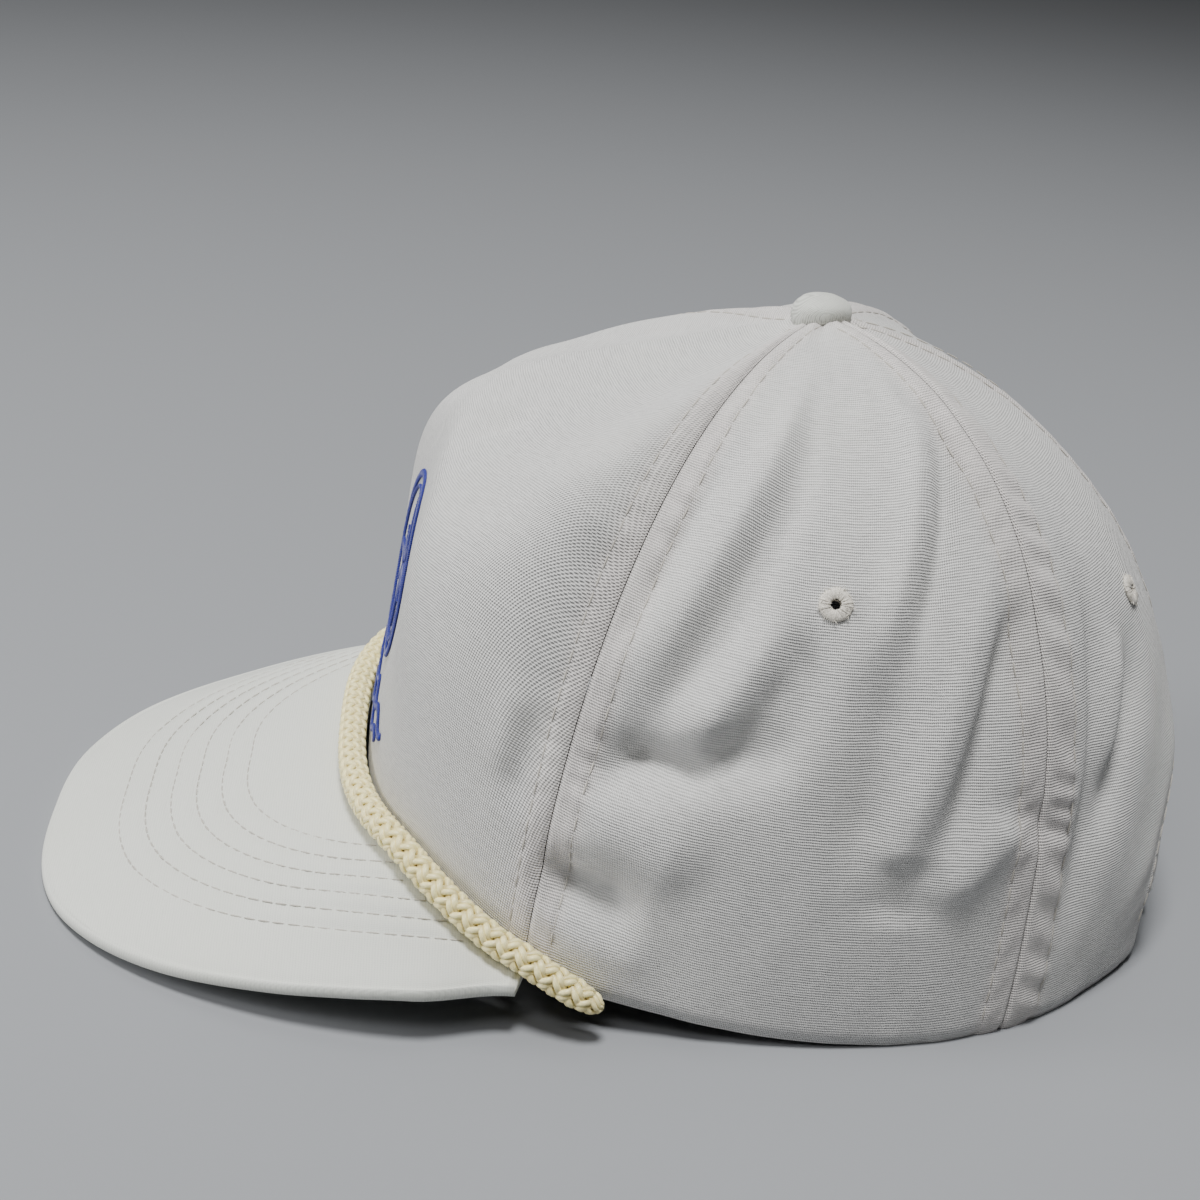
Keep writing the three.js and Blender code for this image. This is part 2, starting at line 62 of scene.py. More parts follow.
# Folds of the cloth are drawn this much deeper than in the solids, and less at the very back.
FOLD_DRAWN = 1.55
FOLD_EASED = 0.45
FOLD_EASED_FROM = 128
# Turn between the two yarns of one strand of the cord.
YARN_TURN = 0.62
# Shares of the way round the peak's section where its top ends and its underside begins.
PEAK_TOP_END = 0.62
PEAK_NOSE_END = 0.72
GAP = 0.0003
TOP_HOLE = 0.0048
PEAK_CORNER_TURN = 52
PEAK_CORNER_ANGLE = 80
PEAK_ROUNDNESS = 0.7
PEAK_BULGE = 0.0016
PEAK_ROLL = 0.0009
CORD_END_TURN = 63
CORD_LIFT = 0.0003
CORD_STEEPNESS = 0.45
STRAP_FOOT = 0.0012
STRAP_TUCK = 7

# Crown by turn from the middle of the front, in degrees. rim and height are shares of the crown
# height, reach is the shoulder's share of the rim radius.
STATIONS = {
    "turn": (0, 14, 30, 54, 90, 110, 122, 150, 180),
    "rim": (0.1893, 0.1893, 0.191, 0.0785, 0.0107, 0, 0, 0, 0),
    "reach": (0.858, 0.895, 0.99, 0.93, 1.02, 1.005, 0.99, 1.035, 1.2),
    "height": (0.86, 0.8, 0.755, 0.925, 0.975, 0.99, 0.99, 0.915, 0.91),
    "squareness": (8.5, 10, 7, 2.3, 2.33, 2.45, 2.5, 2.2, 1.95),
}

# Peak edge by turn, 0 at the tip and 90 at the corner, as shares of the peak length.
PEAK_EDGE = {
    "turn": (0, 16, 31.5, 47, 63, 72, 79, 90),
    "height": (0.0037, 0, 0.0097, 0.024, 0.0516, 0.0685, 0.077, 0.0735),
    "pull": (0, 0, 0, 0, 0, 0.0037, 0.012, 0.0636),
}

# Soft folds: turn and rise of both ends, width and depth in millimetres. A depth below zero is
# a valley. Rise is a share of the way from the rim to the top.
FOLDS = (
    (75.5, 0.79, 60.5, 0.42, 7, 1.7),
    (78.5, 0.69, 61, 0.33, 6, -2),
    (84, 0.49, 79.5, 0.35, 6, -2),
    (79.5, 0.35, 57, 0.29, 6.5, -2.9),
    (79, 0.49, 68, 0.35, 6, 1.6),
    (109.5, 0.75, 97.5, 0.5, 6, 1.3),
    (117, 0.74, 101.5, 0.49, 5, -1.8),
    (98.5, 0.46, 94, 0.24, 7, -1.7),
    (116.5, 0.56, 101.5, 0.25, 7, 1.6),
    (119.5, 0.51, 107.5, 0.26, 6, -2.3),
    (119, 0.28, 108, 0.2, 6, 1.7),
    (52, 0.13, 64, 0.13, 7, -2.5),
    (56.5, 0.23, 71, 0.2, 9, 1.7),
    (101.5, 0.24, 100.5, 0.17, 7, -1.2),
    (143, 0.51, 132, 0.15, 5.5, -1.9),
    (147, 0.44, 139.5, 0.31, 5, 1.3),
    (153, 0.43, 137.5, 0.23, 5.5, -2.5),
    (166, 0.3, 147.5, 0.1, 5.5, 1.3),
    (10, 0.5, 16, 0.59, 6, -1.2),
    (22, 0.5, 38, 0.56, 7, 0.8),
    (38, 0.56, 47.5, 0.52, 6, 0.8),
    (-76, 0.72, -62, 0.4, 7, -1.8),
    (-84, 0.5, -60, 0.3, 7, -2.6),
    (-108, 0.72, -98, 0.4, 7, 1.5),
    (-117, 0.7, -104, 0.36, 6, -2),
    (-55, 0.14, -66, 0.15, 7, -2.2),
    (-141, 0.52, -132, 0.2, 6, -2),
    (-154, 0.46, -140, 0.24, 6, -2.3),
    (-30, 0.52, -46, 0.55, 7, 0.8),
)

# Sharper creases that lie in and beside the soft folds, in the same columns. The right side has
# them too, a little lower.
CREASES = (
    (60.5, 0.65, 55, 0.44, 3, -0.8),
    (71, 0.31, 60, 0.305, 3.2, -1.1),
    (61.5, 0.31, 57, 0.27, 3, -0.9),
    (53, 0.13, 63.5, 0.13, 3, -0.9),
    (56, 0.06, 66.5, 0.06, 4, 0.8),
    (81, 0.44, 74, 0.34, 3, -0.5),
    (74, 0.62, 64, 0.4, 3, -0.5),
    (114, 0.68, 103, 0.5, 2.8, -0.7),
    (118, 0.49, 109, 0.29, 2.6, -0.8),
    (97.5, 0.43, 95, 0.26, 3, -0.5),
    (116, 0.3, 127.5, 0.25, 4, -0.9),
    (140, 0.48, 133, 0.2, 2.8, -0.8),
    (150, 0.38, 138.5, 0.24, 2.8, -1),
    (166, 0.17, 148, 0.06, 4, 0.8),
    (161.5, 0.06, 158, 0.01, 4, -0.8),
    (48, 0.3, 47, 0.19, 3, -0.8),
    (45.5, 0.32, 45, 0.22, 3, 0.5),
    (11.5, 0.5, 16, 0.59, 2.8, -0.5),
)

# Eyelets: node, panel, turn in degrees and height of the middle as a share of the crown height.
EYELETS = (
    ("left_side_eyelet", "left_side_panel", 88, 0.693),
    ("left_back_eyelet", "left_back_panel", 159, 0.629),
    ("right_side_eyelet", "right_side_panel", -88, 0.693),
    ("right_back_eyelet", "right_back_panel", -159, 0.629),
)

# Motif on the front: height of the star's middle, radius and width of each ring, and reach and
# width of the long and the short rays, all in metres.
MOTIF_HEIGHT = 0.073
MOTIF_RINGS = ((0.0215, 0.0022), (0.0185, 0.0009))
MOTIF_RAYS = ((0.0165, 0.0052), (0.01, 0.0036))

# Distance of each row of stitches from its seam, front side and back side, in metres.
SEAM_ROWS = {"front": (0.0042, 0.0052), "back": (0.0066, 0.0088), "middle": (0.005, 0.005)}


def linear(code):
    """Linear colour, with its alpha, of an sRGB hex code."""
    parts = [int(code[k : k + 2], 16) / 255 for k in (1, 3, 5)]
    parts = [((p + 0.055) / 1.055) ** 2.4 if p > 0.04045 else p / 12.92 for p in parts]
    return (*parts, 1.0)


def shaded(colour, share):
    """A colour darkened to a share of itself."""
    return tuple(share * x for x in colour[:3]) + (1.0,)


def length(name, description, default):
    return bpy.props.FloatProperty(
        name=name, description=description, default=default, min=0.0, unit="LENGTH", precision=4
    )


def tint(name, description, code):
    return bpy.props.FloatVectorProperty(
        name=name,
        description=description,
        default=linear(code),
        size=4,
        subtype="COLOR",
        min=0,
        max=1,
    )


class CapSizes(bpy.types.PropertyGroup):
    """Sizes of the cap, the same as its solids have."""

    crown_height: length("Crown height", "Height of the crown above the rim of its sides", 0.14)
    rim_front_reach: length("Rim front reach", "From the crown's middle to its front", 0.0982)
    rim_back_reach: length("Rim back reach", "From the crown's middle to its back", 0.1002)
    rim_half_width: length("Rim half width", "From the crown's middle to its side", 0.0861)
    wall: length("Cloth thickness", "Thickness of the doubled cloth", 0.0018)
    arch_half_width: length("Arch half width", "Half the width of the back opening", 0.044)
    arch_height: length("Arch height", "Height of the back opening", 0.048)
    peak_reach: length("Peak reach", "From the crown's middle to the tip of the peak", 0.1732)
    peak_half_width: length("Peak half width", "Half the width of the peak", 0.094)
    peak_length: length("Peak length", "From the tip of the peak back to its corners", 0.1336)
    peak_thickness: length("Peak thickness", "Board and cloth of the peak together", 0.003)
    peak_row_inset: length("First peak row", "From the peak's edge to its first row", 0.0179)
    peak_row_spacing: length("Peak row spacing", "Between two rows of the peak", 0.0063)
    cord_radius: length("Cord radius", "Half the thickness of the braided cord", 0.0031)
    cord_repeat: length("Cord repeat", "Length of one V of the braid", 0.0046)
    button_radius: length("Button radius", "Half the width of the covered button", 0.0074)
    button_height: length("Button height", "Height of the button over the crown", 0.0052)
    eyelet_radius: length("Eyelet radius", "Outer radius of a sewn eyelet", 0.0039)
    strap_height: length("Strap height", "Height of the back strap", 0.015)
    strap_thickness: length("Strap thickness", "Thickness of the back strap", 0.0016)
    stitch_pitch: length("Stitch pitch", "Length of one stitch and its gap", 0.0042)
    thread_radius: length("Thread radius", "Half the thickness of the sewing thread", 0.0002)
    rib_pitch: length("Rib pitch", "Spacing of the cloth's cross ribs", 0.0006)
    warp_pitch: length("Warp pitch", "Spacing of the cloth's long threads", 0.0004)


class CapColours(bpy.types.PropertyGroup):
    """Colours of the cap's finishes and of the stage."""

    panel: tint("Panel cloth", "White poplin of the crown", "#E2E1DE")
    seam: tint("Seam cloth", "Poplin along the seams, a little warmer", "#E4DEDA")
    peak: tint("Peak cloth", "Poplin of the peak, a little greener", "#D5D7CF")
    cord: tint("Cord", "Cream yarn of the cord", "#FFF3B4")
    # The cord's second colour is painted shade for yarn deep in the braid.
    cord_painted_shade: tint("Cord shade", "Cream yarn deep in the braid", "#BBA663")
    # The sewing thread is drawn greyer than the cloth partly for the thread's own tone and partly
    # as painted shade for the shadows under and between the stitches.
    thread: tint("Sewing thread", "Thread of the seams, greyer than the cloth", "#BFBAB0")
    eyelet: tint("Eyelet thread", "Thread of the eyelets, a little grey", "#ECE6D9")
    motif: tint("Motif thread", "Blue thread of the front motif", "#05188A")
    strap: tint("Strap", "Clear white plastic of the strap", "#E2E2DE")
    floor: tint("Floor", "Pale floor", "#8B8D90")


def sizes():
    return bpy.context.scene.cap_sizes


def colours():
    return bpy.context.scene.cap_colours


def smooth(x):
    s = np.clip(x, 0, 1)
    return s * s * (3 - 2 * s)


def column(table, name, turn):
    """Value of a table's column at each turn, by a cubic that never overshoots its rows."""
    at = np.abs(turn)
    turns = np.array(table["turn"], float)
    values = np.array(table[name], float)
    slopes = np.diff(values) / np.diff(turns)
    tangents = np.zeros(len(values))
    for k in range(1, len(values) - 1):
        before, after = slopes[k - 1], slopes[k]
        if before * after > 0:
            tangents[k] = 2 * before * after / (before + after)
    row = np.clip(np.searchsorted(turns, at, side="right") - 1, 0, len(turns) - 2)
    span = turns[row + 1] - turns[row]
    s = np.clip((at - turns[row]) / span, 0, 1)
    bend = s * (1 - s) * ((1 - s) * tangents[row] - s * tangents[row + 1]) * span
    return values[row] + (values[row + 1] - values[row]) * s * s * (3 - 2 * s) + bend


def grain(x, y, seed):
    """Smooth random height between -1 and 1 at each place, the same at each run."""
    left, low = np.floor(x), np.floor(y)

    def corner(i, j):
        value = np.sin((left + i) * 127.1 + (low + j) * 311.7 + seed * 74.7) * 43758.5453
        return (value - np.floor(value)) * 2 - 1

    u, v = smooth(x - left), smooth(y - low)
    below = corner(0, 0) + (corner(1, 0) - corner(0, 0)) * u
    above = corner(0, 1) + (corner(1, 1) - corner(0, 1)) * u
    return below + (above - below) * v


def unit(vectors):
    return vectors / np.maximum(np.linalg.norm(vectors, axis=-1, keepdims=True), 1e-12)


# Crown surface. turn is in degrees from the middle of the front, the wearer's left above zero.


def rim_radius(turn):
    size = sizes()
    c = np.cos(np.radians(turn))
    s = np.abs(np.sin(np.radians(turn)))
    reach = np.where(c > 0, size.rim_front_reach, size.rim_back_reach)
    n = np.where(c > 0, 2.8, 2.0)
    return ((np.abs(c) / reach) ** n + (s / size.rim_half_width) ** n) ** (-1 / n)


def crown_profile(turn):
    """Radius, height and length of the crown's profile at each turn, from the rim to the top."""
    size = sizes()
    angle = np.linspace(0, math.pi / 2, PROFILE_STEPS + 1)
    c, s = np.cos(angle), np.sin(angle)
    c[-1] = 0
    rim = rim_radius(turn)[:, None]
    foot = size.crown_height * column(STATIONS, "rim", turn)[:, None]
    shoulder = rim * column(STATIONS, "reach", turn)[:, None]
    shoulder_height = size.crown_height * column(STATIONS, "height", turn)[:, None]
    n = column(STATIONS, "squareness", turn)[:, None]
    centre = rim - shoulder
    level = foot + size.crown_height - shoulder_height
    scale = (c**n + s**n) ** (-1 / n)
    radius = centre + c * scale * (rim - centre) - s * scale * centre
    height = level + c * scale * (foot - level) + s * scale * (size.crown_height - level)
    steps = np.hypot(np.diff(radius, axis=1), np.diff(height, axis=1))
    length = np.concatenate([np.zeros_like(rim), np.cumsum(steps, axis=1)], axis=1)
    return radius, height, length


def between(rows, keys, value):
    """Each row's value where its rising keys reach the given value."""
    k = np.clip((keys < value[:, None]).sum(axis=1), 1, keys.shape[1] - 1)
    i = np.arange(len(k))
    s = (value - keys[i, k - 1]) / np.maximum(keys[i, k] - keys[i, k - 1], 1e-12)
    return rows[i, k - 1] + (rows[i, k] - rows[i, k - 1]) * s


def crown_point(turn, rise):
    turn, rise = np.broadcast_arrays(np.asarray(turn, float), np.asarray(rise, float))
    points = np.empty((turn.size, 3))
    for start in range(0, turn.size, 8192):
        part = slice(start, start + 8192)
        radius, height, length = crown_profile(turn.ravel()[part])
        reach = rise.ravel()[part] * length[:, -1]
        out = between(radius, length, reach)
        angle = np.radians(turn.ravel()[part])
        points[part, 0] = out * np.sin(angle)
        points[part, 1] = CROWN_Y - out * np.cos(angle)
        points[part, 2] = between(height, length, reach)
    return points.reshape(turn.shape + (3,))


def crown_normal(turn, rise):
    low, high = np.maximum(rise - 0.01, 0), np.minimum(rise + 0.01, 0.995)
    up = crown_point(turn, high) - crown_point(turn, low)
    around = crown_point(turn + 0.8, rise) - crown_point(turn - 0.8, rise)
    return unit(np.cross(around, up))


def rise_at_height(turn, height):
    turn, height = np.broadcast_arrays(np.asarray(turn, float), np.asarray(height, float))
    _, heights, length = crown_profile(turn)
    return between(length, heights, height) / length[:, -1]


def rise_at_radius(turn, radius):
    turn, radius = np.broadcast_arrays(np.asarray(turn, float), np.asarray(radius, float))
    radii, _, length = crown_profile(turn)
    return between(length, -radii, -radius) / length[:, -1]


def front_seam(rise):
    return 51.6 + 0.9 * np.sin(np.pi * rise)


def back_seam(rise):
    return 121.4 + 3.4 * np.sin(np.pi * rise)


def middle_seam(rise):
    return 180 + 0 * rise


def seam_inset(kind, side, rise):
    """Distance from a seam to its row of stitches on one side, less near the top."""
    inset = SEAM_ROWS[kind][side]
    return 0.0034 + (inset - 0.0034) * smooth((0.97 - rise) / 0.4)


def fold_depth(turn, rise, table):
    depth = np.zeros(np.shape(turn))
    reach = sizes().crown_height * PROFILE_LENGTH
    for turn_a, rise_a, turn_b, rise_b, width, height in table:
        arc = math.radians(1) * sizes().rim_half_width
        dx, dy = (turn_b - turn_a) * arc, (rise_b - rise_a) * reach
        x, y = (turn - turn_a) * arc, (rise - rise_a) * reach
        span = math.hypot(dx, dy)
        along = (x * dx + y * dy) / span**2
        aside = (x * dy - y * dx) / span
        ends = smooth((along + 0.25) / 0.5) * smooth((1.25 - along) / 0.5)
        depth += 0.001 * height * ends * np.exp(-((aside / (0.001 * width)) ** 2))
    return depth * smooth(rise / 0.14) * smooth((0.92 - rise) / 0.12)


def seam_relief(turn, rise, radius):
    """Height of the sewn bands, their grooves and puckers, and how much a place lies in a band."""
    relief = np.zeros(np.shape(turn))
    band = np.zeros(np.shape(turn))
    side = np.sign(turn)
    along = rise * sizes().crown_height * PROFILE_LENGTH
    for kind, line in (("front", front_seam), ("back", back_seam), ("middle", middle_seam)):
        aside = (np.abs(turn) - line(rise)) * math.radians(1) * radius
        away = np.abs(aside)
        inset = np.where(aside < 0, seam_inset(kind, 0, rise), seam_inset(kind, 1, rise))
        relief -= 0.0006 * np.exp(-((away / 0.0006) ** 2))
        relief += 0.0004 * smooth((inset + 0.0012 - away) / 0.0014)
        relief -= 0.00035 * np.exp(-(((away - inset) / 0.0007) ** 2))
        inside = smooth((inset + 0.003 - away) / 0.004)
        phase = grain(along / 0.02, side * 3.1, 5) * 3
        wave = np.sin((along + 0.5 * away) / 0.0092 * 2 * math.pi + phase * 2 + side)
        most = {"back": 0.00034, "front": 0.00032, "middle": 0.00015}[kind]
        strength = np.where(aside > 0, most, 0.00014)
        free = smooth(away / 0.004) * smooth((0.9 - rise) / 0.2)
        relief += strength * wave * free * inside
        relief += 0.00012 * grain(along / 0.0035, away / 0.005 + side * 7, 9) * inside * free
        band = np.maximum(band, inside)
    return relief, band


def cloth_offset(turn, rise, points):
    """How far the cloth stands off the plain crown, and how much each place lies in a seam."""
    size = sizes()
    radius = np.hypot(points[..., 0], points[..., 1] - CROWN_Y)
    relief, band = seam_relief(turn, rise, radius)
    right = tuple((-a - 2, b - 0.02, -c - 2, d - 0.02, e, 0.8 * f) for a, b, c, d, e, f in CREASES)
    depth = fold_depth(turn, rise, FOLDS) + fold_depth(turn, rise, CREASES + right)
    depth *= FOLD_DRAWN - FOLD_EASED * smooth((np.abs(turn) - FOLD_EASED_FROM) / 12)
    depth += relief
    around = np.radians(turn) * size.rim_half_width
    up = rise * size.crown_height * PROFILE_LENGTH
    loose = smooth((np.abs(turn) - 44) / 14)
    depth += (0.15 + 0.85 * loose) * 0.00055 * grain(around / 0.021, up / 0.03, 1)
    depth += (0.3 + 0.7 * loose) * 0.00018 * grain(around / 0.007, up / 0.011, 2)
    depth -= 0.001 * np.exp(-((up / 0.0016) ** 2))
    reach = np.hypot(
        (180 - np.abs(turn)) * math.radians(1) * radius / size.arch_half_width,
        points[..., 2] / size.arch_height,
    )
    edge = (reach - 1) * 0.046
    near = smooth((0.012 - edge) / 0.004) * (np.abs(turn) > 140)
    depth += near * (
        0.0003 * smooth((0.0072 - edge) / 0.0015)
        - 0.00035 * np.exp(-(((edge - 0.0058) / 0.0007) ** 2))
        - 0.0007 * np.exp(-((edge / 0.001) ** 2))
    )
    return depth, band


def cloth_point(turn, rise):
    turn, rise = np.broadcast_arrays(np.asarray(turn, float), np.asarray(rise, float))
    plain = crown_point(turn, rise)
    depth, _ = cloth_offset(turn, rise, plain)
    return plain + crown_normal(turn, rise) * depth[..., None]


# Panels


def arch_turn():
    return 180 - math.degrees(math.asin(sizes().arch_half_width / float(rim_radius(153.0))))


def panel_foot(panel, across):
    """Turn and rise of a panel's lower edge, along the rim and then up the arch."""
    name, start, end = panel["name"], panel["start"](0.0), panel["end"](0.0)
    turn = start + (end - start) * across
    if "back" not in name:
        return turn, np.zeros_like(across)
    share = 0.58
    angle = np.clip((across - 1 + share) / share, 0, 1) * math.pi / 2
    low = start + (arch_turn() - start) * across / (1 - share)
    climb = 180 - (180 - arch_turn()) * np.cos(angle)
    rise = rise_at_height(climb, sizes().arch_height * np.sin(angle))
    on_arch = across > 1 - share
    return np.where(on_arch, climb, low), np.where(on_arch, rise, 0)


def panel_place(panel, across, share):
    foot_turn, foot_rise = panel_foot(panel, across)
    start, end = panel["start"], panel["end"]
    top_turn = start(1.0) + (end(1.0) - start(1.0)) * across
    top_rise = rise_at_radius(top_turn, TOP_HOLE)
    rise = foot_rise + (top_rise - foot_rise) * share
    turn = start(rise) + (end(rise) - start(rise)) * across
    turn += (foot_turn - start(0.0) - (end(0.0) - start(0.0)) * across) * (1 - share)
    points = crown_point(turn, rise)
    radius = np.hypot(points[:, 0], points[:, 1] - CROWN_Y)
    turn += (1 - 2 * across) * 0.00008 / radius / math.radians(1)
    return panel["side"] * turn, rise


def panels():
    front = {"start": lambda rise: -front_seam(rise), "end": front_seam}
    side = {"start": front_seam, "end": back_seam}
    back = {"start": back_seam, "end": middle_seam}
    return (
        {"name": "front_panel", "side": 1, "columns": 170, "rows": 170, **front},
        {"name": "left_side_panel", "side": 1, "columns": 150, "rows": 190, **side},
        {"name": "right_side_panel", "side": -1, "columns": 150, "rows": 190, **side},
        {"name": "left_back_panel", "side": 1, "columns": 140, "rows": 180, **back},
        {"name": "right_back_panel", "side": -1, "columns": 140, "rows": 180, **back},
    )


def grid_shares(bm):
    """Place of each vertex of a new grid, as shares across and up."""
    bm.verts.ensure_lookup_table()
    return np.array([vert.co[:2] for vert in bm.verts]) + 0.5


def set_points(bm, points):
    for vert, point in zip(bm.verts, points):
        vert.co = point


def set_cut(bm, cut):
    """Stores where each vertex lies on the flat cloth, in metres, as the UV map of the weave."""
    layer = bm.loops.layers.uv.new("cut")
    for face in bm.faces:
        for loop in face.loops:
            loop[layer].uv = cut[loop.vert.index]


def face_outward(bm, middle):
    """Turns an open skin so that most of its faces look away from a middle point."""
    towards = sum(
        face.normal.dot(face.calc_center_median() - middle) > 0 for face in list(bm.faces)[::37]
    )
    if towards * 2 < len(list(bm.faces)[::37]):
        bmesh.ops.reverse_faces(bm, faces=bm.faces)


def close_skin(bm):
    """Caps the open ends of a skin and turns its faces outward."""
    bmesh.ops.holes_fill(bm, edges=[edge for edge in bm.edges if edge.is_boundary], sides=0)
    bmesh.ops.recalc_face_normals(bm, faces=bm.faces)


def add_piece(name, bm, material, nodes=()):
    """Makes a finished piece of a mesh, which rides on the cap and may stand for solids."""
    for face in bm.faces:
        face.smooth = True
    mesh = bpy.data.meshes.new(name)
    bm.to_mesh(mesh)
    bm.free()
    mesh.materials.append(material)
    piece = bpy.data.objects.new(name, mesh)
    bpy.context.scene.collection.objects.link(piece)
    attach(piece, "root")
    if nodes:
        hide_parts(*nodes)
    return piece


def along_line(points, at):
    """Points at the given distances along a line of points."""
    steps = np.linalg.norm(np.diff(points, axis=0), axis=1)
    run = np.concatenate([[0], np.cumsum(steps)])
    return np.stack([np.interp(at, run, points[:, k]) for k in range(points.shape[1])], axis=-1)


def line_length(points):
    return float(np.linalg.norm(np.diff(points, axis=0), axis=1).sum())


def thread_matrix(middle, along, out, half_length, width, height):
    aside = np.cross(out, along)
    matrix = Matrix.Identity(4)
    for k in range(3):
        matrix[k][0] = aside[k] * width
        matrix[k][1] = out[k] * height
        matrix[k][2] = along[k] * half_length
        matrix[k][3] = middle[k]
    return matrix


def laid_thread(a, b, out, width, height):
    """Matrix that turns a ball into one laid stitch from a to b."""
    along = unit(b - a)
    out = unit(out - along * np.dot(out, along))
    return thread_matrix((a + b) / 2, along, out, np.linalg.norm(b - a) / 2, width, height)


def lay_threads(bm, matrices, segments=8, rings=5):
    """Adds slim rounded bodies in small batches, because an operator slows down on a large mesh."""
    for start in range(0, len(matrices), 48):
        batch = bmesh.new()
        for matrix in matrices[start : start + 48]:
            bmesh.ops.create_uvsphere(
                batch, u_segments=segments, v_segments=rings, radius=1, matrix=matrix
            )
        mesh = bpy.data.meshes.new("threads")
        batch.to_mesh(mesh)
        batch.free()
        bm.from_mesh(mesh)
        bpy.data.meshes.remove(mesh)


def sew(bm, points, normals, random, pitch, radius):
    """A row of lock stitches along a line on the cloth."""
    total = line_length(points)
    steps = np.concatenate([[0], np.cumsum(np.linalg.norm(np.diff(points, axis=0), axis=1))])
    matrices = []
    for start in np.arange(pitch * 0.5, total - pitch, pitch):
        first = start + random.uniform(-0.04, 0.04) * pitch
        ends = along_line(points, np.array([first, first + pitch * 0.84]))
        out = unit(np.array([np.interp(first, steps, normals[:, k]) for k in range(3)]))
        a, b = ends + out * radius * 0.3
        matrices.append(laid_thread(a, b, out, radius, radius * 0.9))
    lay_threads(bm, matrices)


# Materials


def add_node(tree, kind, settings=None, inputs=None):
    """Adds a node, sets its settings, and sets or links its inputs."""
    made = tree.nodes.new(kind)
    for name, value in (settings or {}).items():
        setattr(made, name, value)
    for name, value in (inputs or {}).items():
        socket = made.inputs[name]
        if isinstance(value, bpy.types.NodeSocket):
            tree.links.new(value, socket)
        else:
            socket.default_value = value
    return made


def add_noise(tree, vector, scale, detail):
    inputs = {"Vector": vector, "Scale": scale, "Detail": detail}
    return add_node(tree, "ShaderNodeTexNoise", inputs=inputs).outputs["Fac"]


def add_bump(tree, strength, distance, height):
    inputs = {"Strength": strength, "Distance": distance, "Height": height}
    return add_node(tree, "ShaderNodeBump", inputs=inputs).outputs["Normal"]


def add_mix(tree, factor, low, high):
    inputs = {"Factor": factor, 6: low, 7: high}
    return add_node(tree, "ShaderNodeMix", {"data_type": "RGBA"}, inputs).outputs[2]


def add_range(tree, value, **ends):
    """Maps a value between two ends. The keywords are the sockets' names with underscores."""
    inputs = {"Value": value, **{name.replace("_", " "): end for name, end in ends.items()}}
    return add_node(tree, "ShaderNodeMapRange", inputs=inputs).outputs["Result"]


def read_attribute(tree, name):
    settings = {"attribute_type": "GEOMETRY", "attribute_name": name}
    return add_node(tree, "ShaderNodeAttribute", settings).outputs["Fac"]


def new_material(name):
    material = bpy.data.materials.new(name)
    material.use_nodes = True
    material.node_tree.nodes.clear()
    return material, material.node_tree


def finish_material(tree, inputs):
    shader = add_node(tree, "ShaderNodeBsdfPrincipled", inputs=inputs)
    add_node(tree, "ShaderNodeOutputMaterial", inputs={"Surface": shader.outputs["BSDF"]})


def poplin(name, colour, seam_colour, relief):
    """Cotton poplin, plain woven. Its cross ribs catch the light as fine parallel lines."""
    material, tree = new_material(name)
    size = sizes()
    cut = add_node(tree, "ShaderNodeUVMap", {"uv_map": "cut"}).outputs["UV"]
    # A sine band of a Wave Texture repeats each 0.314 divided by its scale.
    ribs = add_node(
        tree,
        "ShaderNodeTexWave",
        {"bands_direction": "Y"},
        {
            "Vector": cut,
            "Scale": 0.314159 / size.rib_pitch,
            "Distortion": 2.6,
            "Detail": 3.0,
            "Detail Scale": 0.35,
            "Detail Roughness": 0.6,
        },
    ).outputs["Fac"]
    warp = add_node(
        tree,
        "ShaderNodeTexWave",
        {"bands_direction": "X"},
        {
            "Vector": cut,
            "Scale": 0.314159 / size.warp_pitch,
            "Distortion": 1.4,
            "Detail": 2.0,
            "Detail Scale": 0.4,
        },
    ).outputs["Fac"]
    # Slubs: thick places of the yarn, some millimetres long and one rib high.
    stretched = add_node(
        tree, "ShaderNodeMapping", inputs={"Vector": cut, "Scale": (260.0, 1700.0, 1.0)}
    ).outputs["Vector"]
    slubs = add_noise(tree, stretched, 1.0, 2.0)
    wear = add_noise(tree, cut, 28.0, 4.0)
    threads = add_node(
        tree, "ShaderNodeMath", {"operation": "MULTIPLY_ADD"}, {0: warp, 1: 0.85, 2: ribs}
    ).outputs[0]
    height = add_node(
        tree, "ShaderNodeMath", {"operation": "MULTIPLY_ADD"}, {0: slubs, 1: 1.0, 2: threads}
    ).outputs[0]
    bump = add_bump(tree, relief, 0.0004, height)
    base = add_mix(tree, read_attribute(tree, "seam"), colour, seam_colour)
    # Painted shade: the low places of the weave are drawn darker than the cloth, more so as relief
    # grows.
    dark = shaded(colour, 1 - 1.15 * relief)
    weave_painted_shade = add_range(tree, height, From_Min=0.5, From_Max=1.7)
    woven = add_mix(tree, weave_painted_shade, dark, base)
    tired = tuple(0.93 * x for x in colour[:2]) + (0.9 * colour[2], 1.0)
    patches = add_range(tree, wear, From_Min=0.45, From_Max=0.8, To_Max=0.5)
    finish_material(
        tree,
        {
            "Base Color": add_mix(tree, patches, woven, tired),
            "Roughness": 0.88,
            "IOR": 1.47,
            "Sheen Weight": 0.25,
            "Sheen Roughness": 0.5,
            "Normal": bump,
        },
    )
    return material


def spun_thread(name, colour, shade, gloss, twist):
    """Spun yarn in Object coordinates, with soft uneven fibres that break up the highlight."""
    material, tree = new_material(name)
    place = add_node(tree, "ShaderNodeTexCoord").outputs["Object"]
    fibres = add_noise(tree, place, twist, 4.0)
    tone = add_range(tree, fibres, From_Min=0.3, From_Max=0.65)
    bump = add_bump(tree, 0.6, 0.00008, fibres)
    finish_material(
        tree,
        {
            "Base Color": add_mix(tree, tone, shade, colour),
            "Roughness": gloss,
            "IOR": 1.5,
            "Sheen Weight": 0.3,
            "Sheen Roughness": 0.4,
            "Normal": bump,
        },
    )
    return material


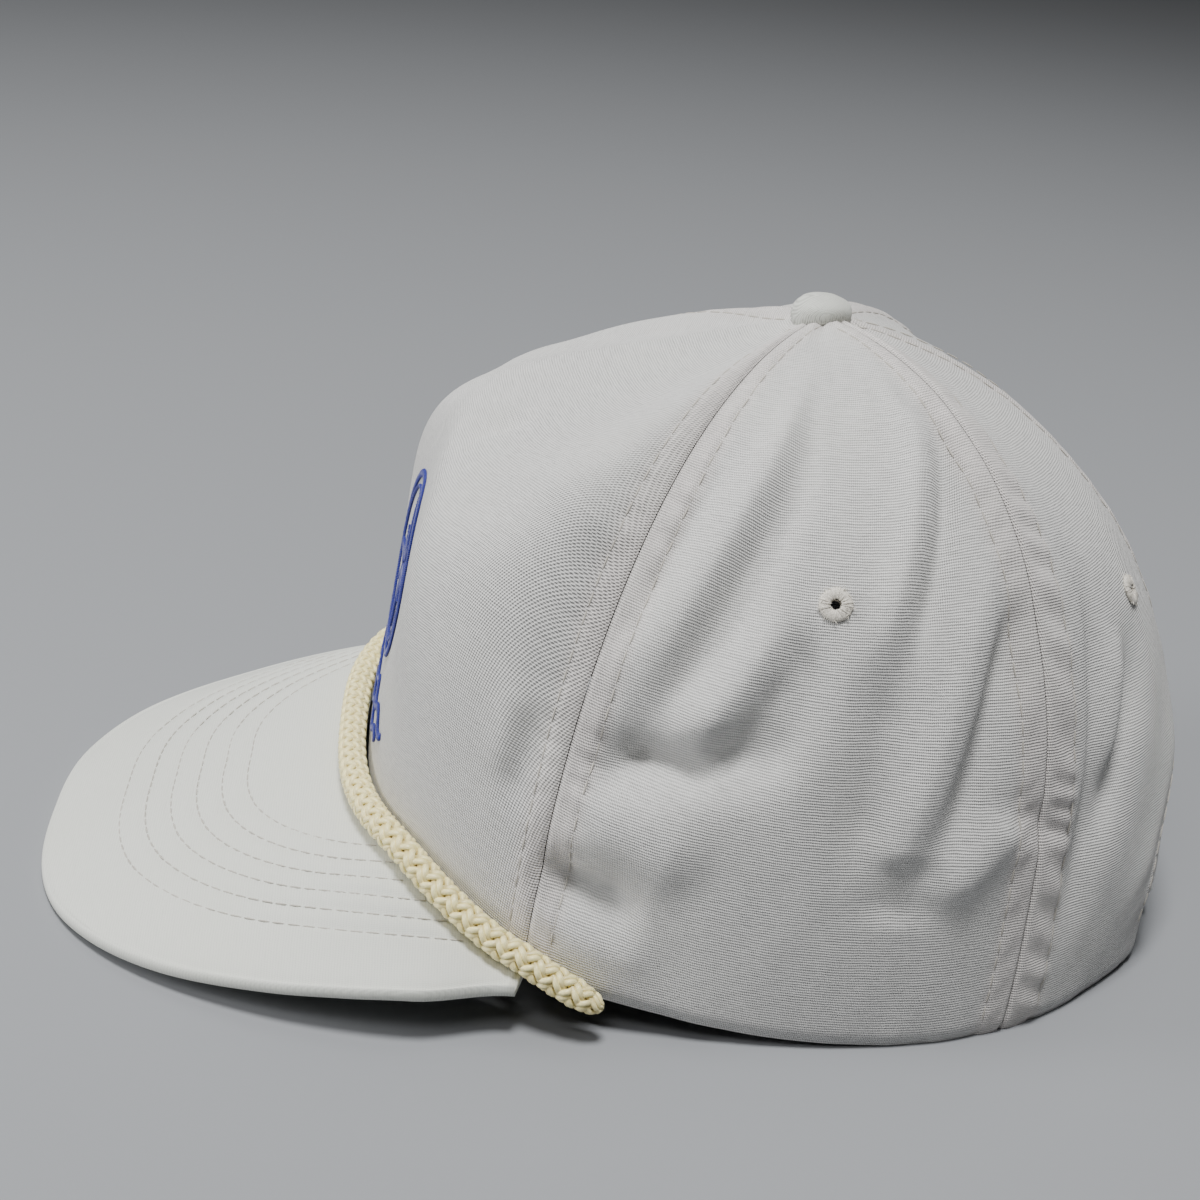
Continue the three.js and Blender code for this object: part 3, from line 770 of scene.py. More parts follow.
def cord_yarn():
    """Glossy filament yarn, braided. Fine twisted fibres give each strand a silky streak."""
    material, tree = new_material("braided filament yarn")
    cut = add_node(tree, "ShaderNodeUVMap", {"uv_map": "cut"}).outputs["UV"]
    turned = add_node(
        tree,
        "ShaderNodeMapping",
        inputs={"Vector": cut, "Rotation": (0.0, 0.0, 0.35), "Scale": (1.0, 0.25, 1.0)},
    ).outputs["Vector"]
    # Fibres 0.12 mm apart, drawn coarser than the real ones so that they show.
    fibres = add_noise(tree, turned, 6000.0, 2.0)
    shade, colour = tuple(colours().cord_painted_shade), tuple(colours().cord)
    # Painted shade: yarn deep in the braid is mixed towards the darker cord colour by the stored
    # share.
    tone = add_mix(tree, read_attribute(tree, "depth"), shade, colour)
    streak = add_range(tree, fibres, From_Min=0.3, From_Max=0.7, To_Min=0.8, To_Max=1.06)
    base = add_node(
        tree,
        "ShaderNodeMix",
        {"data_type": "RGBA", "blend_type": "MULTIPLY"},
        {"Factor": 1.0, 6: tone, 7: streak},
    ).outputs[2]
    bump = add_bump(tree, 0.5, 0.0001, fibres)
    finish_material(
        tree,
        {
            "Base Color": base,
            "Roughness": 0.36,
            "IOR": 1.53,
            "Sheen Weight": 0.2,
            "Subsurface Weight": 0.12,
            "Subsurface Radius": (0.002, 0.0015, 0.0008),
            "Normal": bump,
        },
    )
    return material


def moulded_plastic():
    """Moulded polyethylene: milky, with a dull shine from the mould's fine texture."""
    material, tree = new_material("moulded polyethylene")
    place = add_node(tree, "ShaderNodeTexCoord").outputs["Object"]
    mould = add_noise(tree, place, 2600.0, 2.0)
    rough = add_range(tree, mould, To_Min=0.34, To_Max=0.5)
    bump = add_bump(tree, 0.25, 0.00004, mould)
    finish_material(
        tree,
        {
            "Base Color": tuple(colours().strap),
            "Roughness": rough,
            "IOR": 1.51,
            "Subsurface Weight": 0.2,
            "Subsurface Radius": (0.004, 0.004, 0.004),
            "Normal": bump,
        },
    )
    return material


def studio_paper():
    """Matt studio paper, nearly even, with a faint cloudiness."""
    material, tree = new_material("matt studio paper")
    place = add_node(tree, "ShaderNodeTexCoord").outputs["Object"]
    cloud = add_noise(tree, place, 1.4, 3.0)
    colour = tuple(colours().floor)
    darker = shaded(colour, 0.96)
    base = add_mix(tree, cloud, darker, colour)
    finish_material(tree, {"Base Color": base, "Roughness": 0.95})
    return material


def kept(name, make, *facts):
    """The material of that name, made on first use."""
    return bpy.data.materials.get(name) or make(*facts)


def panel_cloth():
    return kept(
        "white cotton poplin",
        poplin,
        "white cotton poplin",
        tuple(colours().panel),
        tuple(colours().seam),
        0.55,
    )


def sewing_thread():
    # Its colour carries painted shade of the stitches' shadows as well as the thread's own grey.
    colour = tuple(colours().thread)
    shade = shaded(colour, 0.7)
    return kept(
        "spun sewing thread", spun_thread, "spun sewing thread", colour, shade, 0.7, 5200.0
    )


# Peak


def peak_inner(share):
    size = sizes()
    turn = share * PEAK_CORNER_TURN
    rim = rim_radius(turn) + GAP + 0.0001
    angle = np.radians(turn)
    height = size.crown_height * column(STATIONS, "rim", turn) - size.peak_thickness / 2
    return np.stack([rim * np.sin(angle), CROWN_Y - rim * np.cos(angle), height], axis=-1)


def peak_outer(share):
    size = sizes()
    angle = np.radians(np.abs(share) * PEAK_CORNER_ANGLE)
    pull = size.peak_length * column(PEAK_EDGE, "pull", np.abs(share) * 90)
    side = size.peak_half_width * np.sin(angle) ** PEAK_ROUNDNESS - pull
    forward = size.peak_reach - size.peak_length * (1 - np.cos(angle))
    height = size.peak_length * column(PEAK_EDGE, "height", np.abs(share) * 90)
    return np.stack([np.sign(share) * side, CROWN_Y - forward, height], axis=-1)


def peak_point(share, out):
    """Place on the peak's underside, from its inner edge to its outer edge."""
    share, out = np.broadcast_arrays(np.asarray(share, float), np.asarray(out, float))
    points = peak_inner(share) * (1 - out)[..., None] + peak_outer(share) * out[..., None]
    points[..., 2] += PEAK_BULGE * 4 * out * (1 - out) * np.cos(share * math.pi / 2)
    return points


def peak_width(share):
    return np.linalg.norm(peak_outer(share) - peak_inner(share), axis=-1)


def peak_rows():
    size = sizes()
    return [size.peak_row_inset + k * size.peak_row_spacing for k in range(6)]


def quilt_depth(share, out):
    """Dip of the sewn rows of the peak, and the swell of the cloth between them."""
    inset = (1 - out) * peak_width(share)
    rows = peak_rows()
    depth = np.zeros(np.shape(inset))
    for row in rows:
        depth -= 0.00042 * np.exp(-(((inset - row) / 0.0008) ** 2))
    quilted = smooth((inset - rows[0]) / 0.002) * smooth((rows[-1] - inset) / 0.002)
    swell = np.cos((inset - rows[0]) / sizes().peak_row_spacing * 2 * math.pi)
    depth -= quilted * 0.00012 * swell
    points = peak_point(share, out)
    depth += 0.00016 * grain(points[..., 0] / 0.017, points[..., 1] / 0.02, 3)
    depth += 0.00005 * grain(points[..., 0] / 0.004, points[..., 1] / 0.005, 4)
    return depth


def build_peak():
    size = sizes()
    bm = bmesh.new()
    bmesh.ops.create_grid(bm, x_segments=230, y_segments=112, size=0.5)
    flat = grid_shares(bm)
    span = 2 * flat[:, 0] - 1
    share = np.sign(span) * np.abs(span) ** 1.4
    around = flat[:, 1]
    inner, outer = peak_inner(share), peak_outer(share)
    outward = outer - inner
    outward[:, 2] = 0
    outward = unit(outward)
    # First the top, then the rolled nose, and then the underside back to the crown.
    on_top = np.clip(around / PEAK_TOP_END, 0, 1)
    on_nose = np.clip((around - PEAK_TOP_END) / 0.1, 0, 1)
    below = np.clip((around - PEAK_NOSE_END) / 0.27, 0, 1)
    out = np.where(around <= PEAK_TOP_END, on_top, np.where(around < PEAK_NOSE_END, 1, 1 - below))
    half = size.peak_thickness / 2
    points = peak_point(share, out)
    points[:, 2] += half
    turn = on_nose * math.pi
    rolled = (around > PEAK_TOP_END) & (around < PEAK_NOSE_END)
    lift = np.where(around <= PEAK_TOP_END, half, np.where(rolled, half * np.cos(turn), -half))
    points[:, 2] += lift
    points += outward * (np.where(rolled, PEAK_ROLL * np.sin(turn), 0))[:, None]
    closing = around > 0.995
    points[closing] = peak_inner(share[closing]) + (0, 0, size.peak_thickness)
    quilted = quilt_depth(share, out)
    top = (around <= PEAK_TOP_END) & ~closing
    points[:, 2] += np.where(top, quilted, np.where(rolled | closing, 0, -0.6 * quilted))
    edge = np.where(top, np.exp(-((((1 - out) * peak_width(share)) / 0.002) ** 2)), 0)
    points[:, 2] -= 0.0005 * edge
    set_points(bm, points)
    over = np.where(around > 0.67, 0.3, 0.0)
    set_cut(bm, np.stack([points[:, 0], points[:, 1] + over], axis=1))
    bmesh.ops.remove_doubles(bm, verts=bm.verts, dist=0.00002)
    close_skin(bm)
    colour = tuple(colours().peak)
    cloth = kept("poplin over board", poplin, "poplin over board", colour, colour, 0.12)
    return add_piece("peak_cloth", bm, cloth, ["peak"])


def build_peak_rows():
    """Six rows of stitches that follow the peak's edge until they pass under the cord."""
    size = sizes()
    random = np.random.default_rng(11)
    bm = bmesh.new()
    span = np.linspace(-1, 1, 900)
    share = np.sign(span) * np.abs(span) ** 1.4
    width = peak_width(share)
    for row in peak_rows():
        out = 1 - row / width
        shown = out * width > 0.002
        points = peak_point(share[shown], out[shown])
        points[:, 2] += size.peak_thickness - 0.00036
        around = np.gradient(points, axis=0)
        inward = peak_inner(share[shown]) - peak_outer(share[shown])
        normals = unit(np.cross(around, inward))
        normals *= np.sign(normals[:, 2:3])
        sew(bm, points, normals, random, 0.0036, size.thread_radius)
    return add_piece("peak_stitches", bm, sewing_thread())


# Cord


def cord_places(turn):
    """Middle of the cord at each turn, beside the rim and on the peak."""
    size = sizes()
    radius = rim_radius(turn) + GAP + size.cord_radius + 0.00015
    angle = np.radians(turn)
    x, y = radius * np.sin(angle), CROWN_Y - radius * np.cos(angle)
    height = size.crown_height * column(STATIONS, "rim", turn) + CORD_LIFT
    reach = size.cord_radius + GAP + 0.0003
    near = np.arange(-14, 15) * 0.006
    steps = np.arange(15) * 0.0005
    for k, middle in enumerate(turn / PEAK_CORNER_TURN):
        at = np.clip(middle + near, -1, 1)[:, None]
        out = np.minimum(steps[None, :] / peak_width(at), 1)
        points = peak_point(at, out)
        aside = np.hypot(points[..., 0] - x[k], points[..., 1] - y[k])
        hit = aside < reach
        if hit.any():
            lift = size.peak_thickness + np.sqrt(reach**2 - aside[hit] ** 2)
            height[k] = max(height[k], (points[..., 2][hit] + lift).max())
    return np.stack([x, y, height], axis=1)


def cord_line():
    """Middle line of the cord. From the front to each end it falls no more steeply than its own
    stiffness lets it, and so clears the peak's corner."""
    points = cord_places(np.linspace(-CORD_END_TURN, CORD_END_TURN, 61))
    for k in range(1, 31):
        for side in (-1, 1):
            point, before = points[30 + side * k], points[30 + side * (k - 1)]
            run = np.hypot(*(point - before)[:2])
            point[2] = max(point[2], before[2] - CORD_STEEPNESS * run)
    return points


def curve_through(points, count):
    """Smooth line of even steps through points, by a Catmull-Rom spline."""
    ends = np.concatenate([[2 * points[0] - points[1]], points, [2 * points[-1] - points[-2]]])
    t = np.linspace(0, 1, 9)[:-1, None]
    parts = []
    for k in range(1, len(ends) - 2):
        p0, p1, p2, p3 = ends[k - 1 : k + 3]
        bend = (2 * p0 - 5 * p1 + 4 * p2 - p3) * t**2 + (3 * p1 - p0 - 3 * p2 + p3) * t**3
        parts.append(0.5 * (2 * p1 + (p2 - p0) * t + bend))
    line = np.concatenate([*parts, points[-1:]])
    return along_line(line, np.linspace(0, line_length(line), count))


def add_tube(bm, middles, aside, out, radii, cut_layer, braid_shade_layer, depth, sides=6):
    """Skin of a yarn: a grid wrapped round a line, with its length and way round as its cut."""
    grown = bmesh.ops.create_grid(bm, x_segments=sides, y_segments=len(middles) - 1, size=0.5)
    verts = grown["verts"]
    flat = np.array([vert.co[:2] for vert in verts]) + 0.5
    row = np.rint(flat[:, 1] * (len(middles) - 1)).astype(int)
    angle = flat[:, 0] * 2 * math.pi
    wide, high = radii
    points = (
        middles[row]
        + aside[row] * (np.cos(angle) * wide[row])[:, None]
        + out[row] * (np.sin(angle) * high[row])[:, None]
    )
    length = np.concatenate([[0], np.cumsum(np.linalg.norm(np.diff(middles, axis=0), axis=1))])
    cut = np.stack([angle * wide[row], length[row]], axis=1)
    lookup = {}
    for k, (vert, point) in enumerate(zip(verts, points)):
        vert.co = point
        vert[braid_shade_layer] = depth[row[k]]
        lookup[vert] = cut[k]
    for face in {face for vert in verts for face in vert.link_faces}:
        for loop in face.loops:
            loop[cut_layer].uv = lookup[loop.vert]
    bmesh.ops.remove_doubles(bm, verts=verts, dist=0.000004)


def build_cord():
    """Eight strands of two yarns each, four turning either way, over one and under one."""
    size = sizes()
    line = curve_through(cord_line(), 440)
    total = line_length(line)
    along = np.linspace(0, total, len(line))
    tangent = unit(np.gradient(line, axis=0))
    outward = line - np.array([0, CROWN_Y, 0])
    outward[:, 2] = 0
    outward = unit(outward - tangent * (outward * tangent).sum(axis=1, keepdims=True))
    upward = np.cross(outward, tangent)
    ends = np.minimum(along, total - along) / 0.008
    scale = 0.12 + 0.88 * np.sqrt(np.clip(1 - (1 - np.clip(ends, 0, 1)) ** 2, 0, 1))
    yarn = 0.00072
    swing = 0.00046
    base = size.cord_radius - yarn - swing + 0.0004
    lead = 4 * size.cord_repeat
    wave = np.cos(along / lead * 8 * math.pi)
    wave = np.sign(wave) * np.abs(wave) ** 0.8
    bm = bmesh.new()
    cut_layer = bm.loops.layers.uv.new("cut")
    braid_shade_layer = bm.verts.layers.float.new("depth")
    for way in (1, -1):
        over = way * wave
        for strand in range(4):
            for place in (-0.5, 0.5):
                turn = way * along / lead * 2 * math.pi + strand * math.pi / 2
                turn = turn + place * YARN_TURN
                reach = (base + swing * over) * scale
                out = outward * np.cos(turn)[:, None] + upward * np.sin(turn)[:, None]
                middles = line + out * reach[:, None]
                run = unit(np.gradient(middles, axis=0))
                aside = unit(np.cross(run, out))
                radii = (yarn * scale, yarn * 0.94 * scale)
                # Painted shade: where a yarn passes under the others it takes the darker cord
                # colour by this share; the core is all painted shade.
                depth = np.clip(0.55 + 0.45 * over, 0, 1)
                add_tube(bm, middles, aside, out, radii, cut_layer, braid_shade_layer, depth, 8)
    core = np.full(len(line), 0.0019) * scale
    add_tube(bm, line, upward, outward, (core, core), cut_layer, braid_shade_layer, 0 * along, 10)
    close_skin(bm)
    yarns = kept("braided filament yarn", cord_yarn)
    return add_piece("braided_cord", bm, yarns, ["rope"])


# Button, eyelets, strap and motif


def build_button():
    """A cloth-covered dome with the gathered edge of its cover and a rim pressed on the crown."""
    size = sizes()
    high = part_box("top_button")[1]
    bm = bmesh.new()
    bmesh.ops.create_grid(bm, x_segments=120, y_segments=56, size=0.5)
    flat = grid_shares(bm)
    angle = flat[:, 0] * 2 * math.pi
    share = flat[:, 1]
    turn = 180 - np.degrees(angle)
    rise = rise_at_radius(turn, np.full(len(turn), size.button_radius))
    seat = crown_point(turn, rise)[:, 2]
    over = np.clip(share / 0.8, 0, 1)
    under = np.clip((share - 0.8) / 0.2, 0, 1)
    radius = (size.button_radius - 0.0005) * np.sin(over * math.pi / 2) ** 0.82
    radius -= 0.0018 * (1 - np.cos(under * math.pi / 2))
    dome = np.cos(over * math.pi / 2) ** 0.75
    level = seat + 0.0018 - 0.0027 * np.sin(under * math.pi / 2)
    height = level + (float(high.z) - seat - 0.0024) * dome
    gathers = 0.00006 * np.sin(angle * 26 + 2 * grain(angle * 3, 0 * angle, 8))
    radius += gathers * smooth((over - 0.72) / 0.25) * (1 - 0.4 * under)
    height += 0.00012 * grain(radius * np.cos(angle) / 0.003, radius * np.sin(angle) / 0.003, 6)
    points = np.stack(
        [radius * np.sin(angle), CROWN_Y + radius * np.cos(angle), height], axis=1
    )
    set_points(bm, points)
    set_cut(bm, points[:, :2] * (1.0 + 0.25 * over[:, None]))
    bmesh.ops.remove_doubles(bm, verts=bm.verts, dist=0.00002)
    close_skin(bm)
    colour = tuple(colours().peak)
    cover = kept("stretched poplin cover", poplin, "stretched poplin cover", colour, colour, 0.4)
    return add_piece("button_cloth", bm, cover, ["top_button"])


def eyelet_place(turn, height):
    rise = rise_at_height(np.array([turn]), np.array([height * sizes().crown_height]))
    turns = turn + np.array([0, 2.4, -2.4, 0, 0])
    rises = rise + np.array([0, 0, 0, 0.018, -0.018])
    points = cloth_point(turns, rises)
    out = unit(np.cross(points[1] - points[2], points[3] - points[4]))
    return points[0], out


def build_eyelet(node, turn, height, seed):
    """A ring of radial satin stitches over a padded roll, round a small dark hole."""
    size = sizes()
    middle, out = eyelet_place(turn, height)
    side = unit(np.cross((0, 0, 1), out))
    up = np.cross(out, side)
    random = np.random.default_rng(seed)
    bm = bmesh.new()
    roll = bmesh.ops.create_circle(bm, segments=12, radius=1)
    for vert in roll["verts"]:
        x, y = vert.co.x, vert.co.y
        vert.co = (0.0024 + 0.0012 * x, 0, 0.0003 + 0.0006 * y)
    bmesh.ops.spin(
        bm,
        geom=list(bm.edges),
        cent=(0, 0, 0),
        axis=(0, 0, 1),
        angle=2 * math.pi,
        steps=36,
        use_merge=True,
    )
    sleeve = bmesh.ops.create_circle(bm, segments=24, radius=0.00105)
    edges = list({edge for vert in sleeve["verts"] for edge in vert.link_edges})
    drawn = bmesh.ops.extrude_edge_only(bm, edges=edges)["geom"]
    deep = [item for item in drawn if isinstance(item, bmesh.types.BMVert)]
    bmesh.ops.translate(bm, verts=deep, vec=(0, 0, -0.0021))
    bmesh.ops.recalc_face_normals(bm, faces=bm.faces)
    bm.transform(Matrix((*zip(side, up, out), )).to_4x4())
    bmesh.ops.translate(bm, verts=bm.verts, vec=middle)
    count = 38
    matrices = []
    for k in range(count):
        angle = (k + random.uniform(-0.25, 0.25)) / count * 2 * math.pi
        lean = angle + random.uniform(-0.14, 0.14)
        near = 0.0009 + random.uniform(0, 0.0002)
        far = size.eyelet_radius - random.uniform(0, 0.0008)
        a = middle + (side * math.cos(angle) + up * math.sin(angle)) * near
        b = middle + (side * math.cos(lean) + up * math.sin(lean)) * far
        lift = out * (0.0006 + random.uniform(-0.00016, 0.0002))
        matrices.append(laid_thread(a + lift, b + lift * 0.6, out, 0.00027, 0.00056))
    # Loose fibres that stand out round the ring.
    for _ in range(26):
        angle = random.uniform(0, 2 * math.pi)
        a = middle + (side * math.cos(angle) + up * math.sin(angle)) * size.eyelet_radius * 0.84
        step = side * random.uniform(-1, 1) + up * random.uniform(-1, 1)
        b = a + unit(step) * random.uniform(0.0007, 0.0014)
        lift = out * random.uniform(0.0004, 0.0009)
        matrices.append(laid_thread(a + lift, b + lift, out, 0.00009, 0.00009))
    lay_threads(bm, matrices, 6, 5)
    colour = tuple(colours().eyelet)
    shade = shaded(colour, 0.45)
    name = "mercerised eyelet thread"
    thread = kept(name, spun_thread, name, colour, shade, 0.6, 4200.0)
    return add_piece(node + "_thread", bm, thread, [node])


def build_panel(panel):
    size = sizes()
    bm = bmesh.new()
    bmesh.ops.create_grid(bm, x_segments=panel["columns"], y_segments=panel["rows"], size=0.5)
    flat = grid_shares(bm)
    across = flat[:, 0] - 0.62 * np.sin(2 * math.pi * flat[:, 0]) / (2 * math.pi)
    turn, rise = panel_place(panel, across, flat[:, 1])
    plain = crown_point(turn, rise)
    depth, band = cloth_offset(turn, rise, plain)
    points = plain + crown_normal(turn, rise) * depth[:, None]
    set_points(bm, points)
    middle = panel["side"] * (panel["start"](0.5) + panel["end"](0.5)) / 2
    radius = np.hypot(plain[:, 0], plain[:, 1] - CROWN_Y)
    x = np.radians(turn - middle) * radius
    set_cut(bm, np.stack([x, rise * size.crown_height * PROFILE_LENGTH], axis=1))
    layer = bm.verts.layers.float.new("seam")
    for vert, share in zip(bm.verts, band):
        vert[layer] = share
    for _, name, turned, height in EYELETS:
        if name == panel["name"]:
            spot, _ = eyelet_place(turned, height)
            spot = Vector(spot)
            gone = [f for f in bm.faces if (f.calc_center_median() - spot).length < 0.0017]
            bmesh.ops.delete(bm, geom=gone, context="FACES")
    bm.normal_update()
    face_outward(bm, Vector((0, CROWN_Y, 0.05)))
    for edge in bm.edges:
        if edge.is_boundary:
            edge.smooth = False
    piece = add_piece(
        panel["name"] + "_cloth", bm, panel_cloth(), [panel["name"]]
    )
    wall = piece.modifiers.new("cloth thickness", "SOLIDIFY")
    wall.thickness = size.wall
    wall.offset = -1
    return piece


def build_seam_stitches():
    """Two rows of stitches beside each seam, and one round the back opening."""
    size = sizes()
    random = np.random.default_rng(7)
    bm = bmesh.new()
    rise = np.linspace(0.012, 0.968, 500)
    rows = [("front", front_seam, 1), ("front", front_seam, -1)]
    rows += [("back", back_seam, 1), ("back", back_seam, -1), ("middle", middle_seam, 1)]
    for kind, line, side in rows:
        for way in (0, 1):
            if kind == "middle":
                rise = np.linspace(0.3, 0.968, 400)
            plain = crown_point(side * line(rise), rise)
            radius = np.hypot(plain[:, 0], plain[:, 1] - CROWN_Y)
            step = seam_inset(kind, way, rise) / radius / math.radians(1)
            turn = side * (line(rise) + (step if way else -step))
            sew(
                bm,
                cloth_point(turn, rise),
                crown_normal(turn, rise),
                random,
                size.stitch_pitch,
                size.thread_radius,
            )
    angle = np.linspace(0.16, math.pi - 0.16, 300)
    turn = 180 - np.degrees(np.cos(angle) * (size.arch_half_width + 0.0058) / 0.1)
    height = (size.arch_height + 0.0058) * np.sin(angle)
    turned = np.where(turn > 180, turn - 360, turn)
    rise = rise_at_height(turned, height)
    line = cloth_point(turned, rise)
    sew(bm, line, crown_normal(turned, rise), random, size.stitch_pitch, size.thread_radius)
    return add_piece("seam_stitches", bm, sewing_thread())


def build_strap():
    """Moulded strap across the back opening with a row of press studs."""
    size = sizes()
    first = arch_turn() - STRAP_TUCK
    bm = bmesh.new()
    bmesh.ops.create_grid(bm, x_segments=140, y_segments=24, size=0.5)
    flat = grid_shares(bm)
    turn = first + (360 - 2 * first) * flat[:, 0]
    signed = np.where(turn > 180, turn - 360, turn)
    heights = (0, 0.005, 0.01, 0.015, 0.02)
    reach = np.full(len(turn), 1.0)
    for height in heights:
        plain = crown_point(signed, rise_at_height(signed, np.full(len(turn), height)))
        out = np.hypot(plain[:, 0], plain[:, 1] - CROWN_Y)
        dip = fold_depth(signed, rise_at_height(signed, np.full(len(turn), height)), FOLDS)
        reach = np.minimum(reach, out + np.minimum(dip, 0))
    reach = reach - size.wall - GAP - 0.0001
    # Section: a flat band with round edges, from its lower inner corner outward and over.
    angle = flat[:, 1] * 2 * math.pi
    half = size.strap_thickness / 2
    tall = size.strap_height / 2
    c, s = np.cos(angle), np.sin(angle)
    wide = half * np.sign(c) * np.abs(c) ** 0.35
    level = tall * np.sign(s) * np.abs(s) ** 0.6
    radius = reach - half + wide
    height = STRAP_FOOT + tall + level
    spin = np.radians(turn)
    set_points(
        bm, np.stack([radius * np.sin(spin), CROWN_Y - radius * np.cos(spin), height], axis=1)
    )
    bmesh.ops.remove_doubles(bm, verts=bm.verts, dist=0.00001)
    close_skin(bm)
    back = float(np.interp(180, turn[np.argsort(turn)], reach[np.argsort(turn)]))
    for k in range(7):
        spin = math.pi + (k - 3) * 0.008 / back
        out = np.array([math.sin(spin), -math.cos(spin), 0])
        middle = np.array([0, CROWN_Y, STRAP_FOOT + tall]) + out * (back + 0.0003)
        matrix = thread_matrix(middle, out, np.array([0, 0, 1.0]), 1, 1, 1)
        stud = bmesh.ops.create_cone(
            bm,
            cap_ends=True,
            segments=28,
            radius1=0.002,
            radius2=0.002,
            depth=0.0017,
            matrix=matrix,
        )
        rim = [
            edge
            for edge in {edge for vert in stud["verts"] for edge in vert.link_edges}
            if any(len(face.verts) > 4 for face in edge.link_faces)
        ]
        bmesh.ops.bevel(
            bm, geom=rim, offset=0.0004, segments=3, profile=0.5, affect="EDGES", material=-1
        )
    plastic = kept("moulded polyethylene", moulded_plastic)
    return add_piece("strap_moulding", bm, plastic, ["back_strap"])


def front_spot(x, z):
    """Turn and rise of the place on the front panel with that side distance and height."""
    turn = np.degrees(x / 0.098)
    rise = (z - 0.0265) / 0.18
    for _ in range(4):
        points = crown_point(turn, rise)
        turn = turn + np.degrees((x - points[:, 0]) / 0.098)
        rise = rise + (z - points[:, 2]) / 0.18
    return turn, rise


def satin_band(bm, line, width, random):
    """Blue satin stitches laid side by side across a line on the front panel."""
    total = line_length(line)
    at = np.arange(0, total, 0.00042)
    middles = along_line(line, at)
    run = unit(np.gradient(middles, axis=0))
    across = np.stack([-run[:, 1], run[:, 0]], axis=1)
    widths = width(at / total) if callable(width) else np.full(len(at), width)
    ends = []
    for way in (-0.5, 0.5):
        spots = middles + across * (way * widths)[:, None]
        turn, rise = front_spot(spots[:, 0], spots[:, 1])
        ends.append((cloth_point(turn, rise), crown_normal(turn, rise)))
    (a, out), (b, _) = ends
    matrices = []
    for k in range(len(at)):
        lift = out[k] * (0.00025 + random.uniform(0, 0.00008))
        matrices.append(laid_thread(a[k] + lift, b[k] + lift, out[k], 0.00027, 0.00042))
    lay_threads(bm, matrices, 6, 5)


def build_motif():
    """A compass star in two rings over two waves, all of it satin stitch."""
    random = np.random.default_rng(5)
    bm = bmesh.new()
    middle = np.array([0, MOTIF_HEIGHT])
    angle = np.linspace(0, 2 * math.pi, 181)
    around = np.stack([np.sin(angle), np.cos(angle)], axis=1)
    for radius, width in MOTIF_RINGS:
        satin_band(bm, middle + radius * around, width, random)
    for k in range(8):
        turned = k * math.pi / 4
        reach, thick = MOTIF_RAYS[k % 2]
        tip = np.array([math.sin(turned), math.cos(turned)])
        ray = np.array([middle + tip * 0.0022, middle + tip * reach])

        def tapered(share, thick=thick):
            return thick * (1 - share) * np.minimum(1, 0.25 + 4 * share) + 0.0005

        satin_band(bm, ray, tapered, random)
    for row in (0, 1):
        x = np.linspace(-0.031 + 0.008 * row, 0.031 - 0.008 * row, 160)
        z = 0.0425 - 0.0056 * row + 0.0015 * np.sin(x / 0.0155 * 2 * math.pi)
        satin_band(bm, np.stack([x, z], axis=1), 0.002, random)
    colour = tuple(colours().motif)
    shade = shaded(colour, 0.45)
    name = "blue rayon thread"
    thread = kept(name, spun_thread, name, colour, shade, 0.45, 3000.0)
    return add_piece("motif_thread", bm, thread)


# Stage


def aim(thing, position, target):
    thing.location = position
    thing.rotation_euler = (Vector(target) - Vector(position)).to_track_quat("-Z", "Y").to_euler()


def add_lamp(name, position, size, power, target=(0, 0.03, 0.06)):
    lamp = bpy.data.lights.new(name, "AREA")
    lamp.shape = "DISK"
    lamp.size = size
    lamp.energy = power
    thing = bpy.data.objects.new(name, lamp)
    bpy.context.scene.collection.objects.link(thing)
    aim(thing, position, target)


def build_stage():
    scene = bpy.context.scene
    bm = bmesh.new()
    bmesh.ops.create_grid(bm, x_segments=1, y_segments=1, size=6)
    mesh = bpy.data.meshes.new("studio_floor")
    bm.to_mesh(mesh)
    bm.free()
    mesh.materials.append(studio_paper())
    floor = bpy.data.objects.new("studio_floor", mesh)
    scene.collection.objects.link(floor)
    add_lamp("key", (0.35, -0.1, 1.8), 0.5, 43)
    add_lamp("front", (0.1, -1.5, 0.5), 0.6, 18)
    add_lamp("side", (0.92, -0.42, 1.42), 0.5, 5)
    add_lamp("back", (-0.5, 0.3, 1.6), 0.8, 5)
    world = bpy.data.worlds.new("studio")
    world.use_nodes = True
    world.node_tree.nodes.clear()
    sky = add_node(
        world.node_tree,
        "ShaderNodeBackground",
        inputs={"Color": linear("#DADCDE"), "Strength": 0.05},
    )
    add_node(
        world.node_tree, "ShaderNodeOutputWorld", inputs={"Surface": sky.outputs["Background"]}
    )
    scene.world = world
    lens = bpy.data.cameras.new("camera")
    lens.sensor_width = 36
    lens.lens = 61.206
    camera = bpy.data.objects.new("camera", lens)
    right = Vector((0.06181598, 0.99429566, 0.08691905))
    up = Vector((-0.39488712, -0.05561558, 0.91704475))
    back = right.cross(up)
    turned = Matrix((right, up, back)).transposed().to_4x4()
    camera.matrix_world = Matrix.Translation((0.449505, -0.051437, 0.257147)) @ turned
    scene.collection.objects.link(camera)
    scene.camera = camera


class CapPieceOperator:
    bl_options = {"REGISTER", "UNDO"}


class CAP_OT_stage(CapPieceOperator, bpy.types.Operator):
    """Set up the floor, the lamps and the camera."""

    bl_idname = "cap.stage"
    bl_label = "Stage"

    def execute(self, context):
        build_stage()
        return {"FINISHED"}


class CAP_OT_cord(CapPieceOperator, bpy.types.Operator):
    """Braid the cord along the foot of the front panel."""

    bl_idname = "cap.cord"
    bl_label = "Cord"

    def execute(self, context):
        build_cord()
        return {"FINISHED"}


class CAP_OT_panels(CapPieceOperator, bpy.types.Operator):
    """Make the five cloth panels of the crown."""

    bl_idname = "cap.panels"
    bl_label = "Panels"

    def execute(self, context):
        for panel in panels():
            build_panel(panel)
        return {"FINISHED"}


